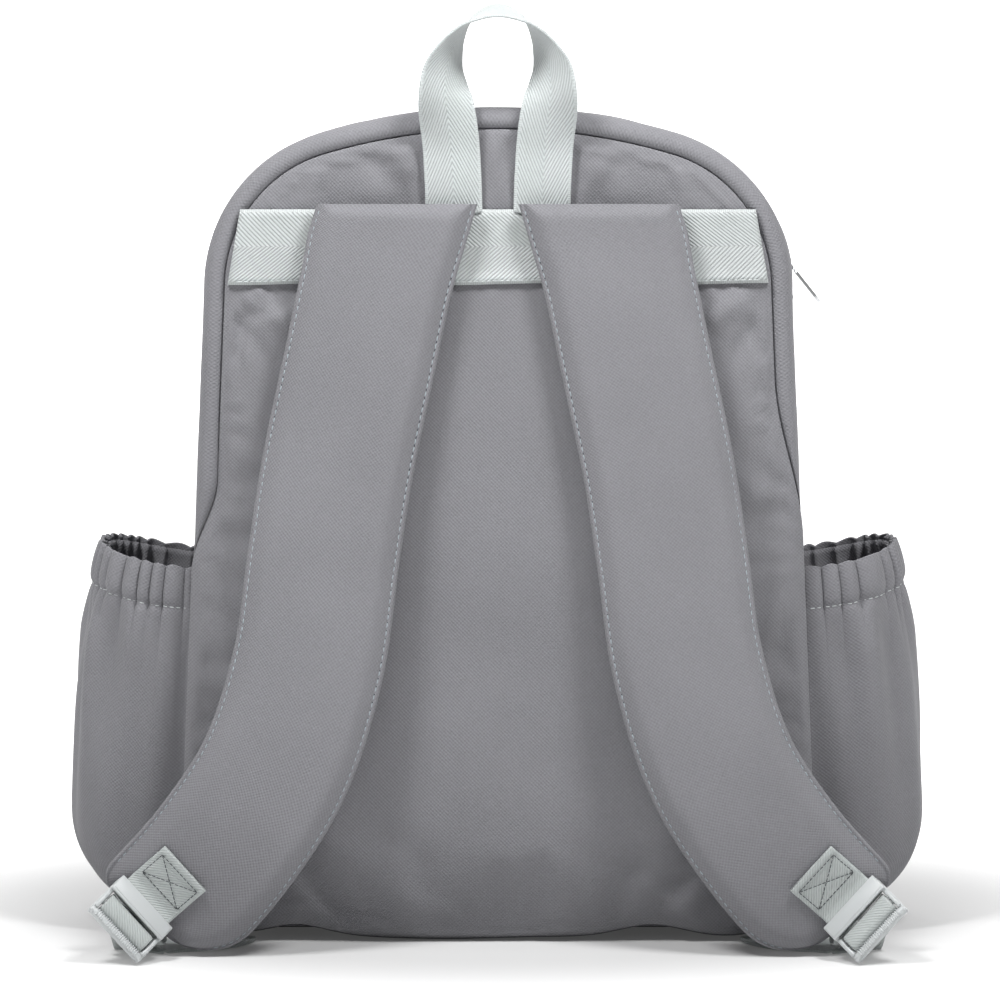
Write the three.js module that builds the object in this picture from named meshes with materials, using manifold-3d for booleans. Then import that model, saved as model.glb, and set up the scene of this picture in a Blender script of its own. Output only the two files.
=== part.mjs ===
// A racket backpack, in millimetres: +Z up, +X across the bag, -Y the harness side that lies on the wearer's back,
// +Y the front with the racket pocket. The origin is on the floor, under the middle of the bag with its straps.
// Every sub-part is its own closed mesh, and a gap of a few tenths separates neighbours.
import * as THREE from "three";
import { mergeVertices } from "three/addons/utils/BufferGeometryUtils.js";
import Module from "manifold-3d";

const wasm = await Module();
wasm.setup();

// ---- Driving dimensions ----
const GAP = 0.3; // between neighbouring pieces
const DEG = Math.PI / 180;
const PLACE_Y = 9.41; // moves the whole bag so that the origin is under the middle of its box

// The bag's outline seen from behind: base corners, leaning sides, shoulder corners and a flat top arch.
const LEAN = 2.5 * DEG;
const SHOULDER = { x: 67, z: 330, r: 80 };
const TOP_CENTRE_Z = 102;
const TOP_R = SHOULDER.r + Math.hypot(SHOULDER.x, SHOULDER.z - TOP_CENTRE_Z);
const SHOULDER_END = Math.atan2(SHOULDER.z - TOP_CENTRE_Z, SHOULDER.x);
const BASE_R = 35;
const BASE_X =
  SHOULDER.x + ((SHOULDER.z - BASE_R) * Math.sin(LEAN) + SHOULDER.r - BASE_R) / Math.cos(LEAN);

// The racket pocket's outline: a half circle on straight sides, over rounded lower corners.
const RACKET = { r: 135, z: 255, low: 38, corner: 40 };

// Layers from back to front, along Y.
const BACK_FACE = -76; // outer face of the back panel
const FABRIC = 1.2; // outer cloth
const LINING = 0.8;
const BACK_FOAM = 8;
const FRONT_FOAM = 3;
const WALL = 4; // padded gusset: cloth, foam and lining
const ROLL = 11; // how far the gusset rolls in over the panel's edge
const REAR_GUSSET_END = 44;
const FRONT_FACE = 82;
const RACKET_FACE = FRONT_FACE + 36;
const RACKET_REAR = FRONT_FACE + 5; // end of the racket pocket's rear gusset
const BOARD = { w: 236, d: 118, t: 2.5 };

// Zips: two tapes with half a coil each, and a slider that rides over both halves.
const TAPE = { w: 6.4, t: 1 };
const COIL = { w: 2.6, t: 2.4 };
const ZIP_LOW = 42; // where the main zip ends, above the floor
const SLIDER = { length: 11, plate: 2, clear: 0.6, post: 1.2, bar: 0.9, lift: 6.4 };
const PULL = { length: 28, width: 7.6, eye: 4, t: 1.5, hole: 1.4, ring: 2.5 };

// Webbing.
const YOKE = { w: 37, low: 332, t: 1.6 };
const WEB = { w: 30, t: 1.5 };
const HANDLE = { x: 21, low: 336, seam: 404, top: 467, t: 1.6 };

// Shoulder straps: the middle of the back face, from the yoke to the rounded end, as x, height, and distance off the bag.
const STRAP_LINE = [
  [50, 371.5, 0],
  [58, 343, 1],
  [68.3, 295, 4],
  [79.3, 242.6, 9],
  [86.4, 196.5, 15.5],
  [93.6, 146, 23],
  [109.7, 95.3, 29],
  [136.4, 53.5, 30],
  [170, 15, 24.5],
];
const STRAP = { w: 75, top: 79.5, cloth: 1.2, foam: 8, lining: 1.2, edge: 3, back: BACK_FACE - 4.4 };
const STRAP_CORNER = { outer: 10, inner: 32 }; // radii of the strap's lower end

// Side pockets.
const POCKET = { rear: -63, front: 42, low: 9, rim: 188, lift: 10, bulge: 61, mouth: 51, wall: 2.4 };
const ELASTIC = { w: 20, t: 1 };

// Ladder-lock buckle at each strap's end: its fixed bar's middle, and how it lies.
const BUCKLE = { w: 36, start: -3, end: 21, t: 3.4, rail: 2.7, bar: 1.6, x: 177, z: 25.2, off: 5 };
const BUCKLE_DROP = 42 * DEG; // how far the webbing's line points below the horizontal
const BUCKLE_LEAN = 43 * DEG; // how far its outer end leans away from the bag
const TAB_LENGTH = 30;

// ---- Solids from points ----
const vec = (x, y, z) => new THREE.Vector3(x, y, z);

// A closed geometry from points and triangles, turned so that its faces point out.
function solid(points, triangles) {
  let volume = 0;
  for (const [a, b, c] of triangles) {
    volume += points[a].dot(points[b].clone().cross(points[c]));
  }
  const faces = volume < 0 ? triangles.map(([a, b, c]) => [a, c, b]) : triangles;
  const geometry = new THREE.BufferGeometry().setFromPoints(points);
  return geometry.setIndex(faces.flat());
}

// The solid between two sheets, front(u, v) and back(u, v), on a grid of nu by nv cells.
function between(nu, nv, front, back) {
  const points = [];
  const triangles = [];
  for (const sheet of [front, back]) {
    for (let j = 0; j <= nv; j++) {
      for (let i = 0; i <= nu; i++) points.push(sheet(i / nu, j / nv));
    }
  }
  const layer = (nu + 1) * (nv + 1);
  const at = (i, j, side) => side * layer + j * (nu + 1) + i;
  const quad = (a, b, c, d) => triangles.push([a, b, c], [a, c, d]);
  for (let j = 0; j < nv; j++) {
    for (let i = 0; i < nu; i++) {
      quad(at(i, j, 0), at(i + 1, j, 0), at(i + 1, j + 1, 0), at(i, j + 1, 0));
      quad(at(i, j + 1, 1), at(i + 1, j + 1, 1), at(i + 1, j, 1), at(i, j, 1));
    }
    quad(at(0, j, 1), at(0, j, 0), at(0, j + 1, 0), at(0, j + 1, 1));
    quad(at(nu, j, 0), at(nu, j, 1), at(nu, j + 1, 1), at(nu, j + 1, 0));
  }
  for (let i = 0; i < nu; i++) {
    quad(at(i, 0, 1), at(i + 1, 0, 1), at(i + 1, 0, 0), at(i, 0, 0));
    quad(at(i, nv, 0), at(i + 1, nv, 0), at(i + 1, nv, 1), at(i, nv, 1));
  }
  return solid(points, triangles);
}

// A closed section of (inset, y) points carried along an outline's stations, with flat ends.
function sweep(stations, section) {
  const n = section.length;
  const flat = section.map(([inset, y]) => new THREE.Vector2(inset, y));
  if (THREE.ShapeUtils.isClockWise(flat)) flat.reverse();
  const points = stations.flatMap((s) =>
    flat.map(({ x: inset, y }) =>
      vec(s.x + (s.r - inset) * Math.cos(s.a), y, s.z + (s.r - inset) * Math.sin(s.a)),
    ),
  );
  const triangles = [];
  for (let j = 0; j + 1 < stations.length; j++) {
    for (let i = 0; i < n; i++) {
      const [a, b] = [j * n + i, j * n + ((i + 1) % n)];
      triangles.push([a, b, b + n], [a, b + n, a + n]);
    }
  }
  const end = (stations.length - 1) * n;
  for (const [a, b, c] of THREE.ShapeUtils.triangulateShape(flat, [])) {
    triangles.push([a, c, b], [end + a, end + b, end + c]);
  }
  return solid(points, triangles);
}

// A flat outline in X and Z, from y0 to y1.
function plate(shape, y0, y1) {
  const options = { depth: y1 - y0, bevelEnabled: false, curveSegments: 5 };
  return new THREE.ExtrudeGeometry(shape, options).rotateX(Math.PI / 2).translate(0, y1, 0);
}

function box(x0, x1, y0, y1, z0, z1) {
  return new THREE.BoxGeometry(x1 - x0, y1 - y0, z1 - z0).translate(
    (x0 + x1) / 2,
    (y0 + y1) / 2,
    (z0 + z1) / 2,
  );
}

// A round bar along Y.
function bar(radius, x, z, y0, y1) {
  return new THREE.CylinderGeometry(radius, radius, y1 - y0, 12).translate(x, (y0 + y1) / 2, z);
}

function toManifold(geometry) {
  const bare = geometry.index ? geometry.clone() : geometry;
  bare.deleteAttribute("normal");
  bare.deleteAttribute("uv");
  const merged = mergeVertices(bare, 1e-4);
  return new wasm.Manifold(
    new wasm.Mesh({
      numProp: 3,
      vertProperties: merged.attributes.position.array,
      triVerts: new Uint32Array(merged.index.array),
    }),
  );
}

function fromManifold(made) {
  const mesh = made.getMesh();
  return new THREE.BufferGeometry()
    .setAttribute("position", new THREE.BufferAttribute(mesh.vertProperties, 3))
    .setIndex(new THREE.BufferAttribute(mesh.triVerts, 1));
}

const join = (...pieces) => fromManifold(pieces.map(toManifold).reduce((a, b) => a.add(b)));
const cut = (body, tool) => fromManifold(toManifold(body).subtract(toManifold(tool)));

// ---- The bag's outline, as stations: an arc's centre, its radius and an angle ----
const mirror = (s) => ({ x: -s.x, z: s.z, r: s.r, a: Math.PI - s.a });

function arcStations(x, z, r, from, to, steps) {
  return Array.from({ length: steps + 1 }, (_, i) => ({
    x,
    z,
    r,
    a: from + ((to - from) * i) / steps,
  }));
}

// A station on the right side's straight line.
function sideStation(z) {
  const reach = (SHOULDER.z + SHOULDER.r * Math.sin(LEAN) - z) / Math.cos(LEAN);
  const x = SHOULDER.x + reach * Math.sin(LEAN);
  return { x, z: z - SHOULDER.r * Math.sin(LEAN), r: SHOULDER.r, a: LEAN };
}

const sideX = (z) => sideStation(z).x + SHOULDER.r * Math.cos(LEAN);

// The arch over the top, from one side's height down to the other's.
function archStations(low) {
  const right = [sideStation(low), ...arcStations(SHOULDER.x, SHOULDER.z, SHOULDER.r, LEAN, SHOULDER_END, 6)];
  const top = arcStations(0, TOP_CENTRE_Z, TOP_R, SHOULDER_END, Math.PI - SHOULDER_END, 6);
  return [...right, ...top.slice(1, -1), ...right.map(mirror).reverse()];
}

// The rounded base, from one side's height round to the other's.
function baseStations(high) {
  const right = [...arcStations(BASE_X, BASE_R, BASE_R, -Math.PI / 2, LEAN, 6), sideStation(high)];
  return [...right.map(mirror).reverse(), ...right];
}

// A closed outline from stations, drawn in by an inset.
function loopShape(stations, inset) {
  return new THREE.Shape(
    stations.map((s) => {
      const reach = s.r - inset;
      return new THREE.Vector2(s.x + reach * Math.cos(s.a), s.z + reach * Math.sin(s.a));
    }),
  );
}

const SIDE_LOW = 38; // heights where the gusset's pieces meet
const SIDE_HIGH = SHOULDER.z;
const bagLoop = [...baseStations(SIDE_LOW), ...archStations(SIDE_HIGH)];
const bagShape = (inset) => loopShape(bagLoop, inset);

// ---- The racket pocket's outline ----
const RACKET_CORNER = { x: RACKET.r - RACKET.corner, z: RACKET.low + RACKET.corner };

function racketArch(low) {
  const foot = { x: 0, z: low, r: RACKET.r, a: 0 };
  return [foot, ...arcStations(0, RACKET.z, RACKET.r, 0, Math.PI, 20), mirror(foot)];
}

function racketBase(high) {
  const corner = arcStations(RACKET_CORNER.x, RACKET_CORNER.z, RACKET.corner, -Math.PI / 2, 0, 6);
  const right = [...corner, { x: 0, z: high, r: RACKET.r, a: 0 }];
  return [...right.map(mirror).reverse(), ...right];
}

const RACKET_RIM = RACKET_CORNER.z + 8; // the zip starts above the pocket's rounded base
const racketLoop = [...racketBase(RACKET_RIM), ...racketArch(RACKET_RIM + 1)];
const racketShape = (inset) => loopShape(racketLoop, inset);

// ---- Sections of the gussets, as (inset, y) ----
// The roll over the edge of a panel whose outer face is at y, on the side that `out` points to.
function rollSection(face, out, wall) {
  const step = (inset, back) => [inset, face - out * back];
  const outer = [step(0, 10), step(0.8, 5), step(4, 1.6), step(ROLL, 0.4)];
  const inner = [step(ROLL, wall + 0.4), step(wall + 3.4, wall + 1), step(wall + 1, wall + 2.4), step(wall, 10)];
  return { outer, inner };
}

const backRoll = rollSection(BACK_FACE, -1, WALL);
const frontRoll = rollSection(FRONT_FACE, 1, WALL);
const racketRoll = rollSection(RACKET_FACE, 1, 3);

const rearGusset = [
  ...backRoll.inner,
  [WALL, REAR_GUSSET_END],
  [0, REAR_GUSSET_END],
  ...backRoll.outer,
];
const baseSection = [...backRoll.inner, ...frontRoll.inner.toReversed(), ...frontRoll.outer.toReversed(), ...backRoll.outer];

const strip = (inset, thick, y0, y1) => [
  [inset, y0],
  [inset, y1],
  [inset + thick, y1],
  [inset + thick, y0],
];

// ---- Where a zip's tapes and coils lie, along Y, counted from the end of the gusset before it ----
function zipLayout(start) {
  const rearTape = [start + GAP, start + GAP + TAPE.w];
  const rearCoil = [rearTape[1] + GAP, rearTape[1] + GAP + COIL.w];
  const frontCoil = [rearCoil[1] + GAP, rearCoil[1] + GAP + COIL.w];
  const frontTape = [frontCoil[1] + GAP, frontCoil[1] + GAP + TAPE.w];
  return { rearTape, rearCoil, frontCoil, frontTape, end: frontTape[1] + GAP };
}

const mainZip = zipLayout(REAR_GUSSET_END);
const racketZip = zipLayout(RACKET_REAR);

// ---- Materials ----
const finish = (color, roughness, metalness = 0) =>
  new THREE.MeshStandardMaterial({ color, roughness, metalness });
const MATERIAL = {
  cloth: finish(0x87868c, 0.85),
  lining: finish(0x5d5c61, 0.9),
  foam: finish(0xb9b7b2, 0.95),
  mesh: finish(0x6f6e74, 0.9),
  webbing: finish(0xc3c8c8, 0.55),
  buckle: finish(0xc6cbcb, 0.35),
  tape: finish(0x77767c, 0.85),
  coil: finish(0x8e8d93, 0.4),
  metal: finish(0x9fa2a4, 0.35, 0.9),
  board: finish(0x2b2b2d, 0.6),
  elastic: finish(0x8a898e, 0.9),
};

const backpack = new THREE.Group();
backpack.position.y = PLACE_Y;

function add(name, material, geometry, parent = backpack) {
  const mesh = new THREE.Mesh(geometry, MATERIAL[material]);
  mesh.name = name;
  parent.add(mesh);
  return mesh;
}

// ---- Back panel: cloth, foam and lining ----
function makeBackPanel() {
  const foamFace = BACK_FACE + FABRIC + GAP;
  const liningFace = foamFace + BACK_FOAM + GAP;
  add("back_panel_cover", "cloth", plate(bagShape(ROLL + GAP), BACK_FACE, BACK_FACE + FABRIC));
  add("back_panel_foam", "foam", plate(bagShape(ROLL + 2), foamFace, foamFace + BACK_FOAM));
  add("back_panel_lining", "lining", plate(bagShape(ROLL + 2), liningFace, liningFace + LINING));
}

// ---- Gusset: the top over both shoulders, two sides and the base ----
function makeGusset() {
  add("top_gusset", "cloth", sweep(archStations(SIDE_HIGH), rearGusset));
  const side = [sideStation(SIDE_LOW), sideStation(SIDE_HIGH - GAP)];
  add("side_gusset_right", "cloth", sweep(side, rearGusset));
  add("side_gusset_left", "cloth", sweep(side.map(mirror), rearGusset));
  add("base_panel", "cloth", sweep(baseStations(SIDE_LOW - GAP), baseSection));
  const { w, d, t } = BOARD;
  add("base_board", "board", box(-w / 2, w / 2, -d / 2, d / 2, WALL + GAP, WALL + GAP + t));
}

// ---- Zips ----
const rackCoilY = (zip) => (zip.rearCoil[1] + zip.frontCoil[0]) / 2;

function makeZip(name, zip, stations) {
  const tape = (y) => sweep(stations, strip(COIL.t - TAPE.t, TAPE.t, ...y));
  const coil = (y) => sweep(stations, strip(0, COIL.t, ...y));
  add(`${name}_zip_tape_rear`, "tape", tape(zip.rearTape));
  add(`${name}_zip_coil_rear`, "coil", coil(zip.rearCoil));
  add(`${name}_zip_coil_front`, "coil", coil(zip.frontCoil));
  add(`${name}_zip_tape_front`, "tape", tape(zip.frontTape));
}

// A slider: a plate over both coil halves, a flange behind them, and a bail that holds the pull.
// Its own X points out of the bag, its own Z along the zip.
function sliderGeometry() {
  const { length, plate: thick, clear, post, bar: barR, lift } = SLIDER;
  const half = COIL.w + GAP / 2 + 0.6;
  const z = length / 2;
  const top = clear + thick;
  const plateBox = box(clear, top, -half - post, half, -z, z);
  const flange = box(-1, top - 0.5, -half - post, -half, -z, z);
  const postBox = (y) => box(top - 0.5, lift + barR, y, y + post, -1.4, 1.4);
  const bail = bar(barR, lift, 0, -half - post + 0.1, half - 0.1);
  return join(plateBox, flange, postBox(-half - post + 0.05), postBox(half - post - 0.05), bail);
}

// A pull: an eye round the bail and a flat tab that hangs along -Z.
function pullGeometry() {
  const { length, width, eye, t, hole, ring } = PULL;
  const across = -SLIDER.post / 2;
  const ringBar = bar(ring, 0, 0, across - eye / 2, across + eye / 2);
  const neck = box(-t / 2, t / 2, across - eye / 2, across + eye / 2, -8, -hole - 0.4);
  const tab = new THREE.Shape();
  const r = width / 2;
  tab.moveTo(-r, -length + r).absarc(0, -length + r, r, Math.PI, 2 * Math.PI);
  tab.lineTo(r, -8).lineTo(-eye / 2, -5).lineTo(-r, -8);
  const flat = new THREE.ExtrudeGeometry(tab, { depth: t, bevelEnabled: false, curveSegments: 5 });
  flat.rotateX(Math.PI / 2).rotateZ(Math.PI / 2).translate(-t / 2, across, 0);
  const drill = bar(hole, 0, 0, across - eye, across + eye);
  return cut(join(ringBar, neck, flat), drill);
}

// Places a slider on a zip at an outline station, with its pull turned by `swing` about its bail.
function makeSlider(name, zip, station, swing) {
  const frame = new THREE.Group();
  frame.position.set(
    station.x + station.r * Math.cos(station.a),
    rackCoilY(zip),
    station.z + station.r * Math.sin(station.a),
  );
  frame.rotation.y = -station.a;
  backpack.add(frame);
  add(`${name}_slider`, "metal", sliderGeometry(), frame);
  const pull = add(`${name}_pull`, "metal", pullGeometry(), frame);
  pull.position.x = SLIDER.lift;
  pull.rotation.y = swing;
}

function makeSliders() {
  const halfStep = (SLIDER.length / 2 + 0.4) / SHOULDER.r;
  const meet = sideStation(SHOULDER.z - 2);
  const lower = sideStation(meet.z + SHOULDER.r * Math.sin(LEAN) - SLIDER.length / 2 - 2);
  const upper = { ...SHOULDER, a: LEAN + halfStep };
  makeSlider("main_lower", mainZip, lower, 0);
  makeSlider("main_upper", mainZip, upper, -32 * DEG);
  const racketStep = (SLIDER.length / 2 + 0.3) / RACKET.r;
  const racket = { x: 0, z: RACKET.z, r: RACKET.r };
  makeSlider("racket_right", racketZip, { ...racket, a: Math.PI / 2 - racketStep }, 0);
  makeSlider("racket_left", racketZip, { ...racket, a: Math.PI / 2 + racketStep }, Math.PI);
}

// ---- Front: the panel that the main zip frees, and the racket pocket on it ----
function makeFront() {
  const arch = archStations(ZIP_LOW);
  makeZip("main", mainZip, arch);
  const frontGusset = [
    [WALL, mainZip.end],
    ...frontRoll.inner.toReversed(),
    ...frontRoll.outer.toReversed(),
    [0, mainZip.end],
  ];
  add("front_gusset", "cloth", sweep(arch, frontGusset));
  const foamFace = FRONT_FACE - FABRIC - GAP;
  add("front_panel_cover", "cloth", plate(bagShape(ROLL + GAP), FRONT_FACE - FABRIC, FRONT_FACE));
  add("front_panel_foam", "foam", plate(bagShape(ROLL + 2), foamFace - FRONT_FOAM, foamFace));
}

function makeRacketPocket() {
  const arch = racketArch(RACKET_RIM);
  add("racket_rear_gusset", "cloth", sweep(arch, strip(0, 3, FRONT_FACE + GAP, RACKET_REAR)));
  makeZip("racket", racketZip, arch);
  const { inner, outer } = racketRoll;
  const frontGusset = [[3, racketZip.end], ...inner.toReversed(), ...outer.toReversed(), [0, racketZip.end]];
  add("racket_front_gusset", "cloth", sweep(arch, frontGusset));
  const base = [[3, FRONT_FACE + GAP], ...inner.toReversed(), ...outer.toReversed(), [0, FRONT_FACE + GAP]];
  add("racket_pocket_base", "cloth", sweep(racketBase(RACKET_RIM - GAP), base));
  add("racket_panel", "cloth", plate(racketShape(ROLL + GAP), RACKET_FACE - 3, RACKET_FACE));
}

// ---- Side pockets: a gathered cup against each side gusset, with elastic in its hem ----
function pocketPoint(side, u, z, inset) {
  const turn = Math.PI * u;
  const { rear, front, low, rim, bulge, mouth } = POCKET;
  const rise = Math.min(1, (z - low) / 55);
  const round = Math.pow(Math.max(0, 1 - Math.pow(1 - rise, 2.3)), 1 / 2.3);
  const narrow = Math.max(0, (z - 100) / (rim - 100));
  const reach = (bulge - (bulge - mouth) * narrow * narrow) * round - inset;
  const half = (front - rear) / 2 - inset;
  const across = Math.pow(Math.sin(turn), 0.6);
  const along = -Math.sign(Math.cos(turn)) * Math.pow(Math.abs(Math.cos(turn)), 0.8);
  const x = sideX(z) + GAP + Math.max(0, reach * across);
  return vec(side * x, (front + rear) / 2 + half * along, z);
}

function makePocket(side, name) {
  const rimAt = (u) => POCKET.rim + POCKET.lift * Math.sin(Math.PI * u);
  const sheet = (inset, floor) => (u, v) => {
    const low = POCKET.low + floor;
    return pocketPoint(side, u, low + (rimAt(u) - low) * Math.pow(v, 1.35), inset);
  };
  add(`${name}_pocket`, "cloth", between(14, 10, sheet(0, 0), sheet(POCKET.wall, POCKET.wall)));
  const band = (inset) => (u, v) => {
    const turn = (1 + 12 * u) / 14; // in step with the pocket's own cells
    return pocketPoint(side, turn, rimAt(turn) - 4 - ELASTIC.w * v, inset);
  };
  const inset = POCKET.wall + 2 * GAP;
  add(`${name}_pocket_elastic`, "elastic", between(12, 1, band(inset), band(inset + ELASTIC.t)));
}

// ---- Webbing: a yoke across the back panel and a grab handle ----
function makeYoke() {
  const shape = new THREE.Shape();
  const ends = [134, 128]; // half width at its lower and upper edge, inside the panel's seam
  shape.moveTo(-ends[0], YOKE.low).lineTo(ends[0], YOKE.low);
  shape.lineTo(ends[1], YOKE.low + YOKE.w).lineTo(-ends[1], YOKE.low + YOKE.w);
  const face = BACK_FACE - GAP;
  add("yoke_webbing", "webbing", plate(shape, face - YOKE.t, face));
}

const HANDLE_Y = BACK_FACE - GAP - YOKE.t - GAP;

function makeHandle() {
  for (const [side, name] of [[-1, "left"], [1, "right"]]) {
    const x = side * HANDLE.x;
    const leg = box(x - WEB.w / 2, x + WEB.w / 2, HANDLE_Y - HANDLE.t, HANDLE_Y, HANDLE.low, HANDLE.seam);
    add(`handle_end_${name}`, "webbing", leg);
  }
  // The loop: its middle line rises, arches over and comes down, and its width turns from X at the seams to Y on top.
  const line = new THREE.CatmullRomCurve3(
    [
      [-HANDLE.x, HANDLE.seam + 2],
      [-HANDLE.x - 1, HANDLE.seam + 18],
      [-HANDLE.x - 1, HANDLE.seam + 36],
      [-HANDLE.x * 0.62, HANDLE.top - 8.5],
      [0, HANDLE.top],
      [HANDLE.x * 0.62, HANDLE.top - 8.5],
      [HANDLE.x + 1, HANDLE.seam + 36],
      [HANDLE.x + 1, HANDLE.seam + 18],
      [HANDLE.x, HANDLE.seam + 2],
    ].map(([x, z]) => vec(x, HANDLE_Y - HANDLE.t / 2, z)),
  );
  const face = (side) => (u, v) => {
    const tangent = line.getTangentAt(v);
    const flat = tangent.clone().cross(vec(0, 1, 0)).normalize();
    const turned = 90 * DEG * THREE.MathUtils.smoothstep(Math.min(v, 1 - v), 0.16, 0.43);
    const width = flat.multiplyScalar(Math.cos(turned)).add(vec(0, Math.sin(turned), 0));
    const normal = tangent.cross(width);
    const point = line.getPointAt(v).addScaledVector(width, (u - 0.5) * WEB.w);
    return point.addScaledVector(normal, (side * HANDLE.t) / 2);
  };
  add("handle_loop", "webbing", between(1, 36, face(1), face(-1)));
}

// ---- Ribbons: a flat band from stations of a middle point and the direction of its width ----
function ribbon(stations, width, thick, steps) {
  const line = new THREE.CatmullRomCurve3(stations.map(([at]) => at), false, "centripetal");
  const last = stations.length - 1;
  const acrossAt = (t) => {
    const k = Math.min(last - 1, Math.floor(t * last));
    return stations[k][1].clone().lerp(stations[k + 1][1], t * last - k).normalize();
  };
  const face = (side) => (u, v) => {
    const across = acrossAt(v);
    const normal = line.getTangent(v).cross(across).normalize();
    const at = line.getPoint(v).addScaledVector(normal, (side * thick) / 2);
    return at.addScaledVector(across, (u - 0.5) * width);
  };
  return between(1, steps, face(1), face(-1));
}

// ---- Shoulder straps: cloth, foam and lining, laid along one line ----
// Half of the strap's width at a distance from its end, on a side whose corner has this radius.
function endWidth(left, radius) {
  const short = Math.max(0, radius - left);
  return STRAP.w / 2 - radius + Math.sqrt(radius * radius - short * short);
}

function strapFrame(side) {
  const line = new THREE.CatmullRomCurve3(
    STRAP_LINE.map(([x, z, off]) => vec(side * x, STRAP.back - off, z)),
    false,
    "centripetal",
  );
  const length = line.getLength();
  return (v) => {
    const tangent = line.getTangentAt(v);
    const normal = vec(0, -1, 0).addScaledVector(tangent, tangent.y).normalize();
    const square = normal.clone().cross(tangent);
    const turn = THREE.MathUtils.smoothstep(length * v, 0, 45); // its top edge is level
    const across = vec(1, 0, 0).lerp(square, turn).normalize();
    return { at: line.getPointAt(v), normal, across, turn, left: length * (1 - v) };
  };
}

const STRAP_STACK = STRAP.lining + STRAP.foam + STRAP.cloth + 2 * GAP;

function makeStrap(side, name) {
  const frameAt = strapFrame(side);
  const sheet = (offset, edge) => (u, v) => {
    const spaced = v + 0.5 * v * (1 - v); // shorter steps towards the end
    const { at, normal, across, turn, left } = frameAt(spaced * (1 - edge / 900));
    const out = 2 * u - 1;
    const radius = out * side > 0 ? STRAP_CORNER.outer : STRAP_CORNER.inner;
    const half = turn < 1 ? (STRAP.top + (STRAP.w - STRAP.top) * turn) / 2 : endWidth(left, radius);
    return at.addScaledVector(across, out * (half - edge)).addScaledVector(normal, offset);
  };
  const layer = (part, material, low, high, edge) =>
    add(`${name}_strap_${part}`, material, between(2, 26, sheet(high, edge), sheet(low, edge)));
  const foam = STRAP.lining + GAP;
  const cloth = foam + STRAP.foam + GAP;
  layer("lining", "mesh", 0, STRAP.lining, 0);
  layer("foam", "foam", foam, foam + STRAP.foam, STRAP.edge);
  layer("cover", "cloth", cloth, cloth + STRAP.cloth, 0);
}

// ---- Strap end: a sewn tab of webbing, a ladder-lock buckle and the adjuster webbing ----
// The depth of the strap's outer face at a point near its end.
function strapFaceY(side, x, z) {
  const frameAt = strapFrame(side);
  let best = { miss: Infinity };
  for (let v = 0.75; v <= 1; v += 0.005) {
    const { at, normal, across } = frameAt(v);
    const face = at.addScaledVector(normal, STRAP_STACK);
    const miss = Math.abs((x - face.x) * across.z - (z - face.z) * across.x);
    if (miss < best.miss) best = { miss, y: face.y };
  }
  return best.y;
}

// In the buckle's own frame X runs along its bars, Y along the webbing to the outer end, and Z out of its face.
function buckleFrame(side) {
  const frame = new THREE.Group();
  const down = vec(side * Math.cos(BUCKLE_DROP), 0, -Math.sin(BUCKLE_DROP));
  const out = vec(0, -1, 0);
  const along = down.clone().multiplyScalar(Math.cos(BUCKLE_LEAN)).addScaledVector(out, Math.sin(BUCKLE_LEAN));
  const face = out.multiplyScalar(Math.cos(BUCKLE_LEAN)).addScaledVector(down, -Math.sin(BUCKLE_LEAN));
  const bars = along.clone().cross(face);
  const x = side * BUCKLE.x;
  frame.position.set(x, strapFaceY(side, x, BUCKLE.z) - BUCKLE.off, BUCKLE.z);
  frame.setRotationFromMatrix(new THREE.Matrix4().makeBasis(bars, along, face));
  frame.userData = { down, bars };
  backpack.add(frame);
  frame.updateMatrix();
  return frame;
}

// A bar of the buckle along its own X.
function crossBar(radius, y, z) {
  const half = BUCKLE.w / 2 - 0.5;
  return bar(radius, 0, 0, -half, half).rotateZ(Math.PI / 2).translate(0, y, z);
}

const MIDDLE_BAR = 11.6;
const BAND = 9; // the plate over the fixed bar

function buckleGeometry() {
  const { w, start, end, t, rail, bar: barR } = BUCKLE;
  const rails = [-1, 1].map((s) => {
    const x = s * (w / 2 - rail / 2);
    return box(x - rail / 2, x + rail / 2, start, end, -t / 2, t / 2);
  });
  const band = box(-w / 2, w / 2, start - 1.5, start + BAND, 3.9, 5.4);
  const ends = [-1, 1].map((s) => {
    const x = s * (w / 2 - rail / 2);
    return box(x - rail / 2, x + rail / 2, start + 1, start + BAND, t / 2 - 0.2, 4);
  });
  const lip = box(-w / 2, w / 2, end - 4.2, end, -t / 2, t / 2);
  return join(...rails, ...ends, band, lip, crossBar(barR, 0, 0), crossBar(barR, MIDDLE_BAR, 0));
}

function makeStrapEnd(side, name) {
  const frame = buckleFrame(side);
  const { down, bars } = frame.userData;
  add(`${name}_buckle`, "buckle", buckleGeometry(), frame);
  const inFrame = (y, z) => vec(0, y, z).applyMatrix4(frame.matrix);
  // The tab is sewn on the strap's face and goes round the fixed bar.
  const tab = [30, 22, 14, 7].map((back) => {
    const at = frame.position.clone().addScaledVector(down, -back);
    at.y = strapFaceY(side, at.x, at.z) - GAP - WEB.t / 2 - 0.6;
    return [at, bars];
  });
  const round = BUCKLE.bar + 0.45 + WEB.t / 2;
  for (const angle of [105, 70, 35, 0, -35, -70, -100]) {
    const [c, n] = [Math.cos(angle * DEG), Math.sin(angle * DEG)];
    tab.push([inFrame(round * c, round * n), bars]);
  }
  add(`${name}_strap_tab`, "webbing", ribbon(tab, WEB.w, WEB.t, 22));
  // The adjuster rises through the inner slot, goes over the middle bar and its tail hangs from the outer slot.
  const web = [
    [15.4, -9],
    [15.3, -4],
    [14.9, 0.3],
    [13.4, 2.5],
    [MIDDLE_BAR, 2.9],
    [9.6, 2.3],
    [8.3, 0.2],
    [7.8, -4],
    [7, -9],
  ].map(([y, z]) => [inFrame(y, z), bars]);
  add(`${name}_adjuster_web`, "webbing", ribbon(web, WEB.w, WEB.t, 24));
}

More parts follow.
